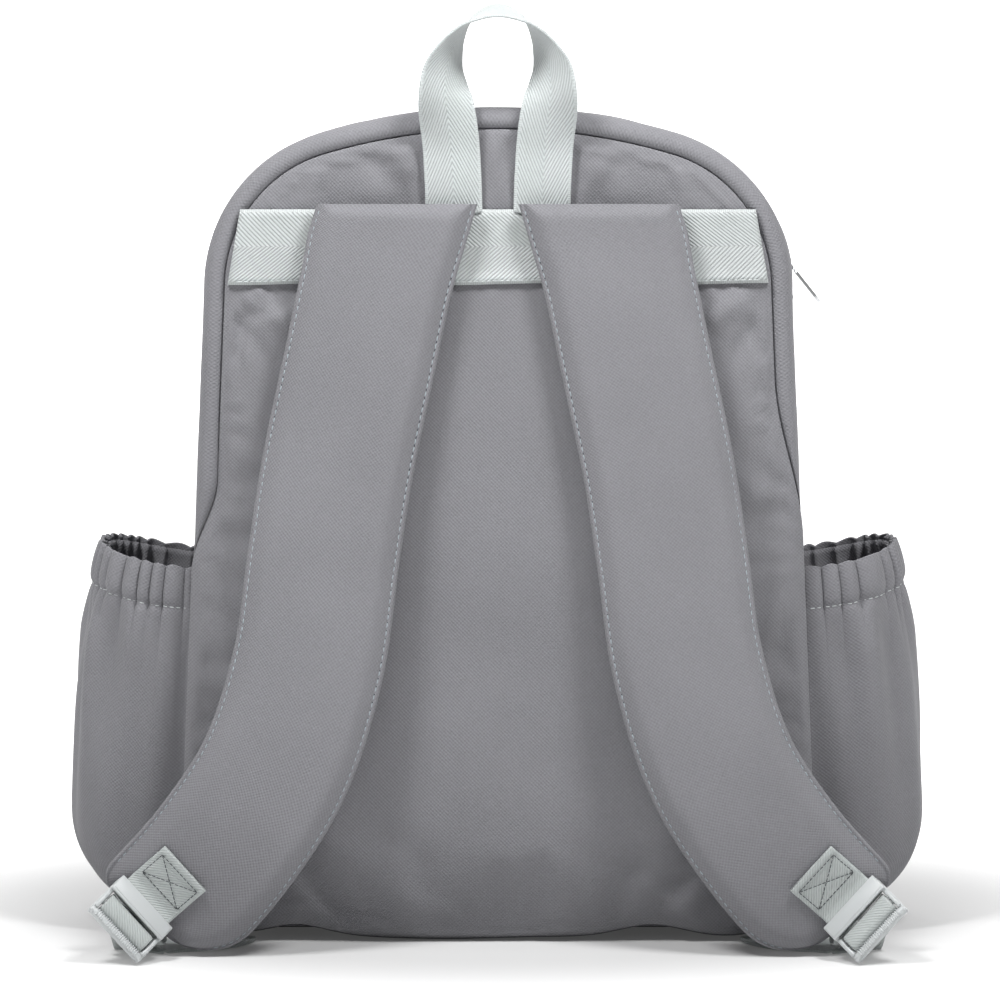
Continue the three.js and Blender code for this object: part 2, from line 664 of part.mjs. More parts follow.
// ---- Base anchors: a folded cloth wing in each rear lower seam, and the webbing that comes out under it ----
function makeAnchor(side, name) {
  const wing = new THREE.Shape();
  wing.moveTo(side * 108, 4).lineTo(side * 140, 6).lineTo(side * 140, 30).lineTo(side * 116, 22);
  const face = BACK_FACE - GAP;
  add(`${name}_anchor_wing`, "cloth", plate(wing, face - 2.4, face));
  // The webbing lies on the floor behind the strap's end, and turns in under the bag's rear edge.
  const corners = [
    [188, -106],
    [172, -106],
    [158, -104.5],
    [146, -103],
    [134, -101],
    [123, -96],
    [114, -88],
    [110, -76.5],
    [138, -76.2],
    [158, -76],
    [188, -76],
  ];
  const outline = new THREE.Shape(corners.map(([x, y]) => new THREE.Vector2(side * x, y)));
  const web = new THREE.ExtrudeGeometry(outline, { depth: WEB.t, bevelEnabled: false });
  add(`${name}_anchor_web`, "webbing", web.translate(0, 0, 0.5));
}

makeBackPanel();
makeGusset();
makeFront();
makeRacketPocket();
makeSliders();
makeYoke();
makeHandle();
for (const [side, name] of [[-1, "left"], [1, "right"]]) {
  makePocket(side, name);
  makeStrap(side, name);
  makeStrapEnd(side, name);
  makeAnchor(side, name);
}

export default backpack;
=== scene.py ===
"""The looks of the racket backpack, in metres, built around its CAD frame."""

import math

import bmesh
import bpy
import numpy as np
from mathutils import Matrix, Vector, noise
from mathutils.bvhtree import BVHTree


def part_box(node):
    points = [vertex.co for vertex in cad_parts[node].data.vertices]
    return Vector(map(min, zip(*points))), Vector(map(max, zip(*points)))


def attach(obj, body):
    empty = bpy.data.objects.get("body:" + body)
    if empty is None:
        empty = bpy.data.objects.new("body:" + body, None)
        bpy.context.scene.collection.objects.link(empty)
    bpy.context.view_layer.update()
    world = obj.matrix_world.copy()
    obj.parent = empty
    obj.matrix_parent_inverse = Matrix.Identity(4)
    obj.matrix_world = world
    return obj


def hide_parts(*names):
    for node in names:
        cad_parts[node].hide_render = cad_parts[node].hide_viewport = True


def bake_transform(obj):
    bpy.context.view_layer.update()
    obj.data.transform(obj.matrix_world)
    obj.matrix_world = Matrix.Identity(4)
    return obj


MM = 0.001
SIDES = (("left", -1), ("right", 1))

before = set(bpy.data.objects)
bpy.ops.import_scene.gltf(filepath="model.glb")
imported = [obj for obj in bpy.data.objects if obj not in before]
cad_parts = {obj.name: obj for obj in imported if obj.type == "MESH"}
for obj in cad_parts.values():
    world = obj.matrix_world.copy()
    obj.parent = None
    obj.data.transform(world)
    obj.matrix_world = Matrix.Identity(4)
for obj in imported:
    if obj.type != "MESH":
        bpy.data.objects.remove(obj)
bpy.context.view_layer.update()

# ---- Depths taken from the CAD frame ----
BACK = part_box("back_panel_cover")[0].y
LINING_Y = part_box("back_panel_lining")[0].y
GUSSET_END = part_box("side_gusset_left")[1].y
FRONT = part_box("front_panel_cover")[1].y
FLAP_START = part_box("front_gusset")[0].y
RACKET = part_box("racket_panel")[1].y
PLACE_Y = BACK + 76 * MM

# ---- The bag's outline, as in the CAD part ----
LEAN = math.radians(2.5)
SHOULDER_X, SHOULDER_Z, SHOULDER_R = 67 * MM, 330 * MM, 80 * MM
TOP_Z = 102 * MM
TOP_R = SHOULDER_R + math.hypot(SHOULDER_X, SHOULDER_Z - TOP_Z)
SHOULDER_END = math.atan2(SHOULDER_Z - TOP_Z, SHOULDER_X)
BASE_R = 35 * MM
BASE_X = SHOULDER_X + ((SHOULDER_Z - BASE_R) * math.sin(LEAN) + SHOULDER_R - BASE_R) / math.cos(LEAN)
ROLL = 11 * MM
ZIP_LOW = 42 * MM
RACKET_R, RACKET_Z, RACKET_LOW, RACKET_CORNER = 135 * MM, 255 * MM, 38 * MM, 40 * MM
RACKET_RIM = RACKET_LOW + RACKET_CORNER + 8 * MM

# ---- Small maths ----


def smooth(low, high, x):
    t = np.clip((np.asarray(x, float) - low) / (high - low), 0, 1)
    return t * t * (3 - 2 * t)


def noise_at(points, scale, seed=0.0):
    """Soft noise from -1 to 1 at each point."""
    offset = Vector((seed * 7.3, seed * 3.1, seed * 5.7))
    flat = np.asarray(points, float).reshape(-1, 3)
    values = [noise.noise(Vector(p) / scale + offset) for p in flat]
    return np.array(values).reshape(np.asarray(points).shape[:-1])


def spline(points, count=None, at=None):
    """Points on a smooth line through the given ones: evenly spaced, or at given shares of it."""
    p = np.asarray(points, float)
    p = np.vstack([2 * p[0] - p[1], p, 2 * p[-1] - p[-2]])
    dense = []
    for i in range(1, len(p) - 2):
        for t in np.linspace(0, 1, 24, endpoint=False):
            a, b, c, d = p[i - 1 : i + 3]
            square, cube = 2 * a - 5 * b + 4 * c - d, 3 * b - a - 3 * c + d
            dense.append(0.5 * (2 * b + (c - a) * t + square * t**2 + cube * t**3))
    dense = np.array(dense + [p[-2]])
    length = np.concatenate([[0], np.cumsum(np.linalg.norm(np.diff(dense[:, :3], axis=0), axis=1))])
    where = np.linspace(0, 1, count) if at is None else np.asarray(at)
    return np.stack([np.interp(where * length[-1], length, dense[:, k]) for k in range(p.shape[1])], 1)


def unit(v):
    v = np.asarray(v, float)
    return v / np.maximum(np.linalg.norm(v, axis=-1, keepdims=True), 1e-12)


# ---- Outline stations: an arc's centre, its radius and an angle ----


def arc(x, z, r, start, end, count):
    return [(x, z, r, a) for a in np.linspace(start, end, count)]


def side_line(low, high, count):
    stations = []
    drop = SHOULDER_R * math.sin(LEAN)
    for z in np.linspace(low, high, count):
        reach = (SHOULDER_Z + drop - z) / math.cos(LEAN)
        stations.append((SHOULDER_X + reach * math.sin(LEAN), z - drop, SHOULDER_R, LEAN))
    return stations


def mirrored(stations):
    return [(-x, z, r, math.pi - a) for x, z, r, a in reversed(stations)]


SIDE_TOP = SHOULDER_Z + SHOULDER_R * math.sin(LEAN)
SIDE_FOOT = BASE_R + BASE_R * math.sin(LEAN)


def arch(low, fine=1.0):
    """The bag's outline over the top, from one side's height down to the other's."""
    right = side_line(low, SIDE_TOP, int(60 * fine))
    right += arc(SHOULDER_X, SHOULDER_Z, SHOULDER_R, LEAN, SHOULDER_END, int(24 * fine))[1:]
    top = arc(0, TOP_Z, TOP_R, SHOULDER_END, math.pi - SHOULDER_END, int(40 * fine))[1:-1]
    return np.array(right + top + mirrored(right))


def base(high):
    """The bag's outline under the base, from the left side's height to the right's."""
    right = arc(BASE_X, BASE_R, BASE_R, -math.pi / 2, LEAN, 14)
    if high > SIDE_FOOT:
        right += side_line(SIDE_FOOT, high, 4)[1:]
    bottom = [(x, BASE_R, BASE_R, -math.pi / 2) for x in np.linspace(-BASE_X, BASE_X, 50)[1:-1]]
    return np.array(mirrored(right) + bottom + right)


def bag_loop(fine=1.0):
    return np.vstack([base(SIDE_FOOT), arch(SIDE_FOOT, fine)[1:-1]])


def racket_arch(low):
    foot = [(0, z, RACKET_R, 0) for z in np.linspace(low, RACKET_Z, 30)[:-1]]
    over = arc(0, RACKET_Z, RACKET_R, 0, math.pi, 80)
    return np.array(foot + over + mirrored(foot))


def racket_base(high):
    x, z = RACKET_R - RACKET_CORNER, RACKET_LOW + RACKET_CORNER
    right = arc(x, z, RACKET_CORNER, -math.pi / 2, 0, 12) + [(0, high, RACKET_R, 0)]
    bottom = [(t, z, RACKET_CORNER, -math.pi / 2) for t in np.linspace(-x, x, 30)[1:-1]]
    return np.array(mirrored(right) + bottom + right)


def racket_loop():
    return np.vstack([racket_base(RACKET_RIM), racket_arch(RACKET_RIM)[1:-1]])


def outline(stations, inset):
    """X and Z of each station, drawn in by an inset."""
    reach = stations[:, 2] - inset
    x = stations[:, 0] + reach * np.cos(stations[:, 3])
    z = stations[:, 1] + reach * np.sin(stations[:, 3])
    return np.stack([x, z], 1)


def base_lift(stations):
    """How far the base's rear edge stands off the floor, in soft waves."""
    xz = outline(stations, 0)
    x = xz[:, 0] / MM
    waves = 0.7 + 0.5 * np.sin(x / 17)
    for middle, width, height in ((-103, 22, 6.5), (78, 24, 7.0), (-138, 16, 2.6), (138, 16, 2.6)):
        waves = waves + height * np.exp(-(((x - middle) / width) ** 2))
    return waves * MM * (1 - smooth(0.003, 0.03, xz[:, 1]))


def seam_inset(stations):
    """How far the back panel's seam lies in from the outline: far over the top, little low down."""
    xz = outline(stations, 0)
    left, right = smooth(0.188, 0.235, xz[:, 1]), smooth(0.205, 0.285, xz[:, 1])
    least = 0.08 - 0.14 * smooth(0.01, 0.05, xz[:, 1])
    return ROLL * (least + (1 - least) * np.where(xz[:, 0] < 0, left, right)) + base_lift(stations)


def walk(points):
    return np.concatenate([[0], np.cumsum(np.linalg.norm(np.diff(points, axis=0), axis=1))])


# ---- Meshes ----


def new_object(name, mesh, materials):
    obj = bpy.data.objects.new(name, mesh)
    bpy.context.scene.collection.objects.link(obj)
    for m in materials if isinstance(materials, (list, tuple)) else [materials]:
        mesh.materials.append(m)
    return obj


def tidy_mesh(mesh, smooth_faces=True):
    bm = bmesh.new()
    bm.from_mesh(mesh)
    bmesh.ops.remove_doubles(bm, verts=bm.verts, dist=2e-6)
    bmesh.ops.recalc_face_normals(bm, faces=bm.faces)
    bm.to_mesh(mesh)
    bm.free()
    mesh.polygons.foreach_set("use_smooth", [smooth_faces] * len(mesh.polygons))


def grid(name, P, materials, closed_u=False, closed_v=False, caps=False, material_of=None, uv=None):
    """A mesh from a grid of points P[row, column], with UVs in metres along its columns and rows."""
    P = np.asarray(P, float)
    rows, cols = P.shape[:2]
    if uv is None:
        across = np.concatenate([P, P[:, :1]], 1)
        u = np.concatenate([[0], np.cumsum(np.linalg.norm(np.diff(across, axis=1), axis=2).mean(0))])
        down = np.concatenate([P, P[:1]], 0)
        v = np.concatenate([[0], np.cumsum(np.linalg.norm(np.diff(down, axis=0), axis=2).mean(1))])
        uv = np.stack(np.meshgrid(u, v), 2)
    faces, loops, kinds = [], [], []
    for j in range(rows if closed_v else rows - 1):
        for i in range(cols if closed_u else cols - 1):
            corners = [(j, i), (j, i + 1), (j + 1, i + 1), (j + 1, i)]
            faces.append([(a % rows) * cols + b % cols for a, b in corners])
            loops += [uv[a, b] for a, b in corners]
            kinds.append(0 if material_of is None else material_of(j, i))
    if caps:
        for j in (0, rows - 1):
            faces.append([j * cols + i for i in range(cols)])
            loops += [uv[j, i] for i in range(cols)]
            kinds.append(0)
    mesh = bpy.data.meshes.new(name)
    mesh.from_pydata(P.reshape(-1, 3).tolist(), [], faces)
    mesh.uv_layers.new(name="UVMap").data.foreach_set("uv", np.array(loops, np.float32).ravel())
    mesh.polygons.foreach_set("material_index", kinds)
    tidy_mesh(mesh)
    return new_object(name, mesh, materials)


def sweep(name, stations, section, materials, closed=False, wobble=None, shape=None):
    """A closed section of (inset, y) points, in mm and metres, along outline stations."""
    section = np.asarray(section, float)
    P = np.zeros((len(stations), len(section), 3))
    for k, (inset, y) in enumerate(section):
        depth, y = shape(stations, inset * MM, y) if shape else (inset * MM, np.full(len(stations), y))
        xz = outline(stations, depth)
        P[:, k] = np.stack([xz[:, 0], y, xz[:, 1]], 1)
    if wobble:
        push = wobble(P, section)
        out = np.stack([np.cos(stations[:, 3]), np.zeros(len(stations)), np.sin(stations[:, 3])], 1)
        P += push[..., None] * out[:, None]
    return grid(name, P, materials, closed_u=True, closed_v=closed, caps=not closed)


def soften(obj, levels=1):
    m = obj.modifiers.new("smooth", "SUBSURF")
    m.levels = m.render_levels = levels
    return obj


def merge(name, parts):
    """One object from several, each already in place."""
    for o in bpy.context.selected_objects:
        o.select_set(False)
    for o in parts:
        o.select_set(True)
    bpy.context.view_layer.objects.active = parts[0]
    bpy.ops.object.join()
    parts[0].name = name
    return parts[0]


def block(name, size, centre, material, bevel=0.4 * MM, matrix=None):
    """A box with rounded edges."""
    bm = bmesh.new()
    bmesh.ops.create_cube(bm, size=1)
    bmesh.ops.scale(bm, vec=size, verts=bm.verts)
    offset = min(bevel, min(size) * 0.45)
    bmesh.ops.bevel(bm, geom=bm.edges[:], offset=offset, segments=3, affect="EDGES", profile=0.5)
    bmesh.ops.translate(bm, vec=centre, verts=bm.verts)
    if matrix is not None:
        bmesh.ops.transform(bm, matrix=matrix, verts=bm.verts)
    mesh = bpy.data.meshes.new(name)
    bm.to_mesh(mesh)
    bm.free()
    mesh.polygons.foreach_set("use_smooth", [True] * len(mesh.polygons))
    return new_object(name, mesh, material)


def ribbon(name, at, across, width, thick, material, edge=0.18):
    """Flat webbing along stations `at`, its width along `across`, kept above the floor."""
    at, across = np.asarray(at, float), unit(across)
    tangent = unit(np.gradient(at, axis=0))
    normal = unit(np.cross(tangent, across))
    across = unit(np.cross(normal, tangent))
    w, t = width / 2, thick / 2
    ring = [(-1, -1), (-0.93, -1), (-0.5, -1), (0, -1), (0.5, -1), (0.93, -1), (1, -1)]
    ring += [(1, 1), (0.93, 1), (0.5, 1), (0, 1), (-0.5, 1), (-0.93, 1), (-1, 1)]
    P = np.zeros((len(at), len(ring), 3))
    u = np.zeros(len(ring) + 1)
    for k, (a, b) in enumerate(ring):
        lift = t * (1 - edge if abs(a) == 1 else 1 + 0.12 * (abs(a) > 0.9))
        middle = at + across * (a * w)
        middle[:, 2] = np.maximum(middle[:, 2], t + 0.2 * MM)
        P[:, k] = middle + normal * (b * lift)
        u[k] = (a + 1) * w
    u[-1] = 0
    uv = np.stack(np.meshgrid(u, walk(at)), 2)
    return grid(name, P, material, closed_u=True, caps=True, uv=uv)


def point_at(where, s, values):
    """The values of a line at a distance from its start."""
    return np.array([np.interp(where, s, column) for column in values.T])


def dashes(name, at, normal, material, pitch, length, radius, sink=0.1 * MM):
    """A row of stitches along a line of points."""
    at, normal = np.asarray(at, float), unit(normal)
    s = walk(at)
    count = max(1, int(s[-1] / pitch))
    verts, faces = [], []
    shape = [(-0.5, 0.0), (-0.4, 0.75), (0, 1.0), (0.4, 0.75), (0.5, 0.0)]
    for i in range(count):
        mid = (i + 0.5) * s[-1] / count
        here = point_at(mid, s, at)
        n = unit(point_at(mid, s, normal))
        t = unit(point_at(mid + 1e-4, s, at) - point_at(mid - 1e-4, s, at))
        b = np.cross(n, t)
        first = len(verts)
        for along, fat in shape:
            drop = -sink - 0.9 * radius * (abs(along) > 0.45)
            for angle in np.linspace(0, 2 * math.pi, 6, endpoint=False):
                r = radius * max(fat, 0.15)
                off = n * (drop + r * math.sin(angle)) + b * r * math.cos(angle)
                verts.append(here + t * along * length + off)
        for j in range(len(shape) - 1):
            for k in range(6):
                a, c = first + j * 6 + k, first + j * 6 + (k + 1) % 6
                faces.append([a, c, c + 6, a + 6])
    mesh = bpy.data.meshes.new(name)
    mesh.from_pydata([v.tolist() for v in verts], [], faces)
    mesh.polygons.foreach_set("use_smooth", [True] * len(mesh.polygons))
    return new_object(name, mesh, material)


# ---- Materials ----


class Nodes:
    """Adds shader nodes to a material and links them."""

    def __init__(self, name):
        self.material = bpy.data.materials.new(name)
        self.material.use_nodes = True
        self.tree = self.material.node_tree
        self.shader = self.tree.nodes["Principled BSDF"]

    def add(self, kind, **values):
        node = self.tree.nodes.new(kind)
        for key, value in values.items():
            setattr(node, key, value)
        return node

    def math(self, operation, *inputs):
        node = self.add("ShaderNodeMath", operation=operation)
        for k, value in enumerate(inputs):
            self.feed(value, node.inputs[k])
        return node.outputs[0]

    def feed(self, value, socket):
        if hasattr(value, "is_output"):
            self.tree.links.new(value, socket)
        else:
            socket.default_value = value

    def uv(self):
        split = self.add("ShaderNodeSeparateXYZ")
        self.feed(self.add("ShaderNodeUVMap", uv_map="UVMap").outputs[0], split.inputs[0])
        return split.outputs[0], split.outputs[1]

    def bump(self, height, distance, strength=1.0):
        node = self.add("ShaderNodeBump")
        self.feed(height, node.inputs["Height"])
        node.inputs["Distance"].default_value = distance
        node.inputs["Strength"].default_value = strength
        self.feed(node.outputs[0], self.shader.inputs["Normal"])

    def colour(self, factor, low, high):
        mix = self.add("ShaderNodeMix", data_type="RGBA")
        self.feed(factor, mix.inputs[0])
        mix.inputs[6].default_value = (*low, 1)
        mix.inputs[7].default_value = (*high, 1)
        self.feed(mix.outputs[2], self.shader.inputs["Base Color"])

    def noise(self, scale, detail=2.0):
        node = self.add("ShaderNodeTexNoise")
        self.feed(self.add("ShaderNodeTexCoord").outputs["Object"], node.inputs["Vector"])
        node.inputs["Scale"].default_value = scale
        node.inputs["Detail"].default_value = detail
        return node.outputs["Fac"]


def canvas(name, colour, pitch=0.95 * MM, depth=0.2 * MM, rough=0.9, contrast=0.24):
    """Plain-weave cloth: threads that cross over and under."""
    n = Nodes(name)
    u, v = n.uv()
    waves = [n.math("SINE", n.math("MULTIPLY", c, math.pi / pitch)) for c in (u, v)]
    weave = n.math("MULTIPLY_ADD", n.math("MULTIPLY", *waves), 0.5, 0.5)
    slub = n.noise(900.0, 2.0)
    cloud = n.noise(16.0, 2.0)
    height = n.math("ADD", weave, n.math("MULTIPLY", slub, 0.9))
    fine = n.math("MULTIPLY_ADD", weave, 0.45, n.math("MULTIPLY", slub, 0.55))
    tone = n.math("ADD", fine, n.math("MULTIPLY_ADD", cloud, 0.5, -0.25))
    dark = tuple(c * (1 - contrast) for c in colour)
    light = tuple(c * (1 + contrast) for c in colour)
    n.colour(tone, dark, light)
    n.bump(height, depth)
    n.shader.inputs["Roughness"].default_value = rough
    n.shader.inputs["Sheen Weight"].default_value = 0.1
    n.shader.inputs["Sheen Roughness"].default_value = 0.5
    return n.material


def herringbone(name, colour, column, pitch=3.3 * MM, slope=2.1, depth=0.3 * MM, contrast=0.36):
    """Webbing in two columns of slanted ribs, each as wide as `column`, with a plain edge."""
    n = Nodes(name)
    u, v = n.uv()
    zig = n.math("PINGPONG", u, column)
    phase = n.math("MULTIPLY", n.math("SUBTRACT", v, n.math("MULTIPLY", zig, slope)), 2 * math.pi / pitch)
    rib = n.math("POWER", n.math("MULTIPLY_ADD", n.math("SINE", phase), 0.5, 0.5), 0.55)
    edge = n.math("LESS_THAN", zig, 1.5 * MM)
    wave = n.math("SINE", n.math("MULTIPLY", v, 2 * math.pi / (1.1 * MM)))
    selvage = n.math("MULTIPLY_ADD", wave, 0.2, 0.7)
    inner = n.math("MULTIPLY", rib, n.math("SUBTRACT", 1.0, edge))
    face = n.math("ADD", inner, n.math("MULTIPLY", selvage, edge))
    thread = n.noise(1300.0, 1.0)
    tone = n.math("MULTIPLY_ADD", thread, 0.35, n.math("MULTIPLY", face, 0.82))
    n.colour(tone, tuple(c * (1 - contrast) for c in colour), tuple(c * (1 + contrast * 0.4) for c in colour))
    n.bump(n.math("MULTIPLY_ADD", thread, 0.3, face), depth)
    n.shader.inputs["Roughness"].default_value = 0.5
    n.shader.inputs["Sheen Weight"].default_value = 0.2
    return n.material


def plain(name, colour, rough=0.5, metal=0.0, grain=0.0, clear=0.0):
    n = Nodes(name)
    n.shader.inputs["Base Color"].default_value = (*colour, 1)
    n.shader.inputs["Roughness"].default_value = rough
    n.shader.inputs["Metallic"].default_value = metal
    if grain:
        n.bump(n.noise(900.0, 3.0), grain)
    if clear:
        n.shader.inputs["Transmission Weight"].default_value = clear
        n.shader.inputs["Subsurface Weight"].default_value = 0.2
        n.shader.inputs["Subsurface Radius"].default_value = (0.004, 0.004, 0.004)
    return n.material


GREY = (0.190, 0.1895, 0.2035)
MAT = {
    "cloth": canvas("cloth", GREY),
    "lining": canvas("lining", (0.11, 0.11, 0.12), pitch=0.5 * MM, depth=0.06 * MM, rough=0.7),
    "strap_lining": canvas("strap_lining", (0.17, 0.17, 0.185), pitch=1.6 * MM, depth=0.5 * MM),
    "webbing": herringbone("webbing", (0.45, 0.48, 0.48), column=14.2 * MM),
    "webbing_wide": herringbone(
        "webbing_wide", (0.41, 0.435, 0.435), column=18.5 * MM, pitch=2.4 * MM, slope=1.2
    ),
    "tab": herringbone(
        "tab", (0.40, 0.43, 0.425), column=80 * MM, pitch=1.7 * MM, slope=0.9, depth=0.2 * MM, contrast=0.2
    ),
    "thread": plain("thread", (0.30, 0.345, 0.37), 0.7),
    "thread_dark": plain("thread_dark", (0.05, 0.055, 0.06), 0.8),
    # near-black: painted shade for the needle holes between the strap stitches
    "hole": plain("hole", (0.035, 0.04, 0.05), 0.9),
    "thread_pale": plain("thread_pale", (0.50, 0.53, 0.53), 0.7),
    "tape": canvas("tape", (0.16, 0.16, 0.172), pitch=0.6 * MM, depth=0.1 * MM),
    "coil": plain("coil", (0.24, 0.24, 0.255), 0.35),
    "metal": plain("metal", (0.55, 0.56, 0.57), 0.3, metal=1.0),
    "plastic": plain("plastic", (0.60, 0.625, 0.63), 0.34, clear=0.22),
    "board": plain("board", (0.02, 0.02, 0.021), 0.6, grain=0.1 * MM),
}


def place(obj, body, material, *nodes):
    """Rides a finished piece on its body and hides the CAD nodes it stands for."""
    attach(obj, body)
    if nodes:
        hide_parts(*nodes)
    return obj


# ---- The back panel and what lies on it ----


def ridge(x, z, start, end, width, height):
    """A soft fold along a segment."""
    a, b = np.array(start) * MM, np.array(end) * MM
    d = b - a
    t = np.clip(((x - a[0]) * d[0] + (z - a[1]) * d[1]) / (d @ d), 0, 1)
    away = np.hypot(x - a[0] - t * d[0], z - a[1] - t * d[1])
    fade = np.sin(math.pi * np.clip(t, 0.02, 0.98)) ** 0.5
    return height * MM * fade * np.exp(-((away / (width * MM)) ** 2))


FOLDS = [  # start, end, width and height
    ((-130, 331), (-96, 306), 5.5, 2.6),
    ((-134, 320), (-108, 286), 4.5, -2.0),
    ((130, 331), (98, 308), 5.5, 2.4),
    ((132, 320), (112, 288), 4.5, -1.9),
    ((-62, 408), (-41, 384), 4.5, 2.6),
    ((-72, 402), (-50, 378), 4.5, -1.6),
    ((-40, 408), (-39, 376), 3.0, -2.4),
    ((39, 408), (40, 376), 3.2, -2.4),
    ((62, 406), (46, 382), 4.5, 2.4),
    ((-3, 409), (1, 380), 3.0, 2.2),
    ((5, 409), (3, 384), 2.5, -1.6),
    ((-30, 250), (-34, 110), 14, -1.6),
    ((30, 240), (32, 100), 14, -1.4),
    ((-70, 60), (-20, 40), 9, -1.6),
    ((30, 52), (84, 34), 9, -1.7),
    ((-60, 30), (-20, 12), 7, 1.6),
    ((60, 34), (100, 16), 7, 1.8),
    ((-143, 185), (-128, 120), 6, 1.8),
    ((-146, 222), (-128, 196), 5, -1.8),
    ((144, 196), (130, 130), 6, 1.8),
    ((144, 236), (128, 206), 5, -1.6),
]


def slack(z):
    """How far the panel may swell at a height: little under the sewn harness, more low down."""
    return (3.0 + 6.5 * (1 - smooth(0.16, 0.31, z)) * smooth(0.0, 0.05, z)) * MM


def panel_folds(x, z, away):
    """Folds and a soft unevenness, fading out at the seam; away is the distance from it."""
    rise = 0.5 * MM * noise_at(np.stack([x, 0 * x, z], -1), 0.05, 1)
    for start, end, width, height in FOLDS:
        rise = rise + ridge(x, z, start, end, width, height)
    return rise * smooth(0, 9 * MM, away)


def disc(name, stations, inset, centre, face, back_y, material, rings=46):
    """A padded panel inside an outline. face(xz, away) gives its depth; its rear is flat."""
    edge = outline(stations, inset)
    rows = []
    for share in 1 - (1 - np.linspace(0, 1, rings)) ** 1.35:
        xz = centre + (edge - centre) * share
        rows.append(np.stack([xz[:, 0], face(xz, np.linalg.norm(edge - xz, axis=1)), xz[:, 1]], 1))
    for share in (1.0, 0.97, 0.5, 0.0):
        xz = centre + (edge - centre) * share
        rows.append(np.stack([xz[:, 0], np.full(len(xz), back_y), xz[:, 1]], 1))
    P = np.array(rows)
    closed = np.concatenate([P, P[:, :1]], 1)
    uv = np.concatenate([closed[..., [0, 2]], closed[:1, :, [0, 2]]], 0)
    return grid(name, P, MAT[material], closed_u=True, uv=uv)


def copy_of(obj):
    copy = bpy.data.objects.new("simulated", obj.data.copy())
    bpy.context.scene.collection.objects.link(copy)
    return copy


def settled(obj):
    """The mesh of an object with its modifiers applied; the object itself goes."""
    result = bpy.data.meshes.new_from_object(obj.evaluated_get(bpy.context.evaluated_depsgraph_get()))
    bpy.data.objects.remove(obj)
    return result


def swell(pad, held, pressure=4.0, extra=0.03, voxel=5 * MM, frames=20):
    """Cloth simulation of a closed copy of a pad that swells while `held` points stay.

    Returns its surface to cast rays at."""
    body = copy_of(pad)
    remesh = body.modifiers.new("remesh", "REMESH")
    remesh.mode, remesh.voxel_size = "VOXEL", voxel
    mesh = settled(body)
    body = bpy.data.objects.new("simulated", mesh)
    bpy.context.scene.collection.objects.link(body)
    where = np.array([v.co[:] for v in mesh.vertices])
    pins = body.vertex_groups.new(name="pins")
    for k, weight in enumerate(held(where)):
        if weight > 0.01:
            pins.add([k], float(weight), "REPLACE")
    cloth = body.modifiers.new("cloth", "CLOTH")
    cloth.settings.vertex_group_mass = "pins"
    cloth.settings.use_pressure = True
    cloth.settings.uniform_pressure_force = pressure
    cloth.settings.effector_weights.gravity = 0
    cloth.settings.shrink_min = -extra
    cloth.settings.bending_stiffness = 0.8
    cloth.collision_settings.use_collision = False
    cloth.point_cache.frame_start, cloth.point_cache.frame_end = 1, frames
    for frame_number in range(1, frames + 1):
        bpy.context.scene.frame_set(frame_number)
    mesh = settled(body)
    bpy.context.scene.frame_set(1)
    faces = [list(p.vertices) for p in mesh.polygons]
    return BVHTree.FromPolygons([v.co[:] for v in mesh.vertices], faces)


def swollen(tree, x, z, rest, out, cap):
    """How far the simulated surface stands out of its rest depth, up to a cap. out is -1 or 1 along Y."""
    rise = np.zeros(np.shape(x))
    for k in np.ndindex(rise.shape):
        hit = tree.ray_cast(Vector((x[k], rest[k] + out * 0.05, z[k])), Vector((0, -out, 0)))[0]
        if hit is not None:
            rise[k] = (hit.y - rest[k]) * out
    return np.clip(rise, 0, cap)


CENTRE = np.array([0, 0.215])


def back_rest(z, away):
    """The back panel's depth before it swells: its edge turns in, most where the roll is narrow."""
    low = 1 - smooth(0.19, 0.28, z)
    turned = (0.8 + 4.2 * low) * MM * np.clip(1 - away / ((3 + 5 * low) * MM), 0, 1) ** 2
    belly = 4 * MM * np.exp(-(((z - 0.06) / 0.06) ** 2)) * smooth(0, 0.05, away)
    return BACK - 0.6 * MM - belly + turned


PANEL = {}


def make_back_panel():
    stations = bag_loop(1.4)
    inset = seam_inset(stations) + 0.1 * MM
    edge = outline(stations, inset)
    rest = lambda xz, away: back_rest(xz[:, 1], away)
    pad = disc("pad", stations, inset, CENTRE, rest, BACK + 9.6 * MM, "cloth")

    def held(p):
        away = np.min(np.hypot(p[:, :1] - edge[::3, 0], p[:, 2:] - edge[::3, 1]), axis=1)
        yoke = (p[:, 2] > 0.336) & (p[:, 2] < 0.366) & (abs(p[:, 0]) < 0.132)
        return np.where((p[:, 1] > BACK + 5 * MM) | (away < 4 * MM) | yoke, 1.0, 0.0)

    PANEL["tree"] = swell(pad, held)
    bpy.data.objects.remove(pad)
    PANEL["edge"] = edge

    def face(xz, away):
        return panel_depth(xz[:, 0], xz[:, 1], away)

    pad = disc("back_pad", stations, inset, CENTRE, face, BACK + 9.6 * MM, "cloth", rings=64)
    place(pad, "shell", "cloth", "back_panel_cover", "back_panel_foam")


def panel_depth(x, z, away):
    """Depth of the finished back panel's face."""
    rest = back_rest(z, away)
    if "tree" in PANEL:
        rise = swollen(PANEL["tree"], x, z, rest, -1, slack(z)) * smooth(0, 4 * MM, away)
    else:
        rise = slack(z) * 0.8 * smooth(0, 0.03, away) * (1 - np.exp(-(((z - 0.351) / 0.03) ** 2)))
    return rest - rise - panel_folds(x, z, away)


def gusset_wobble(P, section):
    """Soft dents in a gusset wall, fading out at its seams."""
    y = section[:, 1]
    low, high = y.min(), y.max()
    fade = smooth(low, low + 30 * MM, y) * (1 - smooth(high - 14 * MM, high, y))
    wave = noise_at(P, 0.07, 2) * 1.8 + noise_at(P, 0.025, 3) * 0.7
    return wave * fade[None] * MM


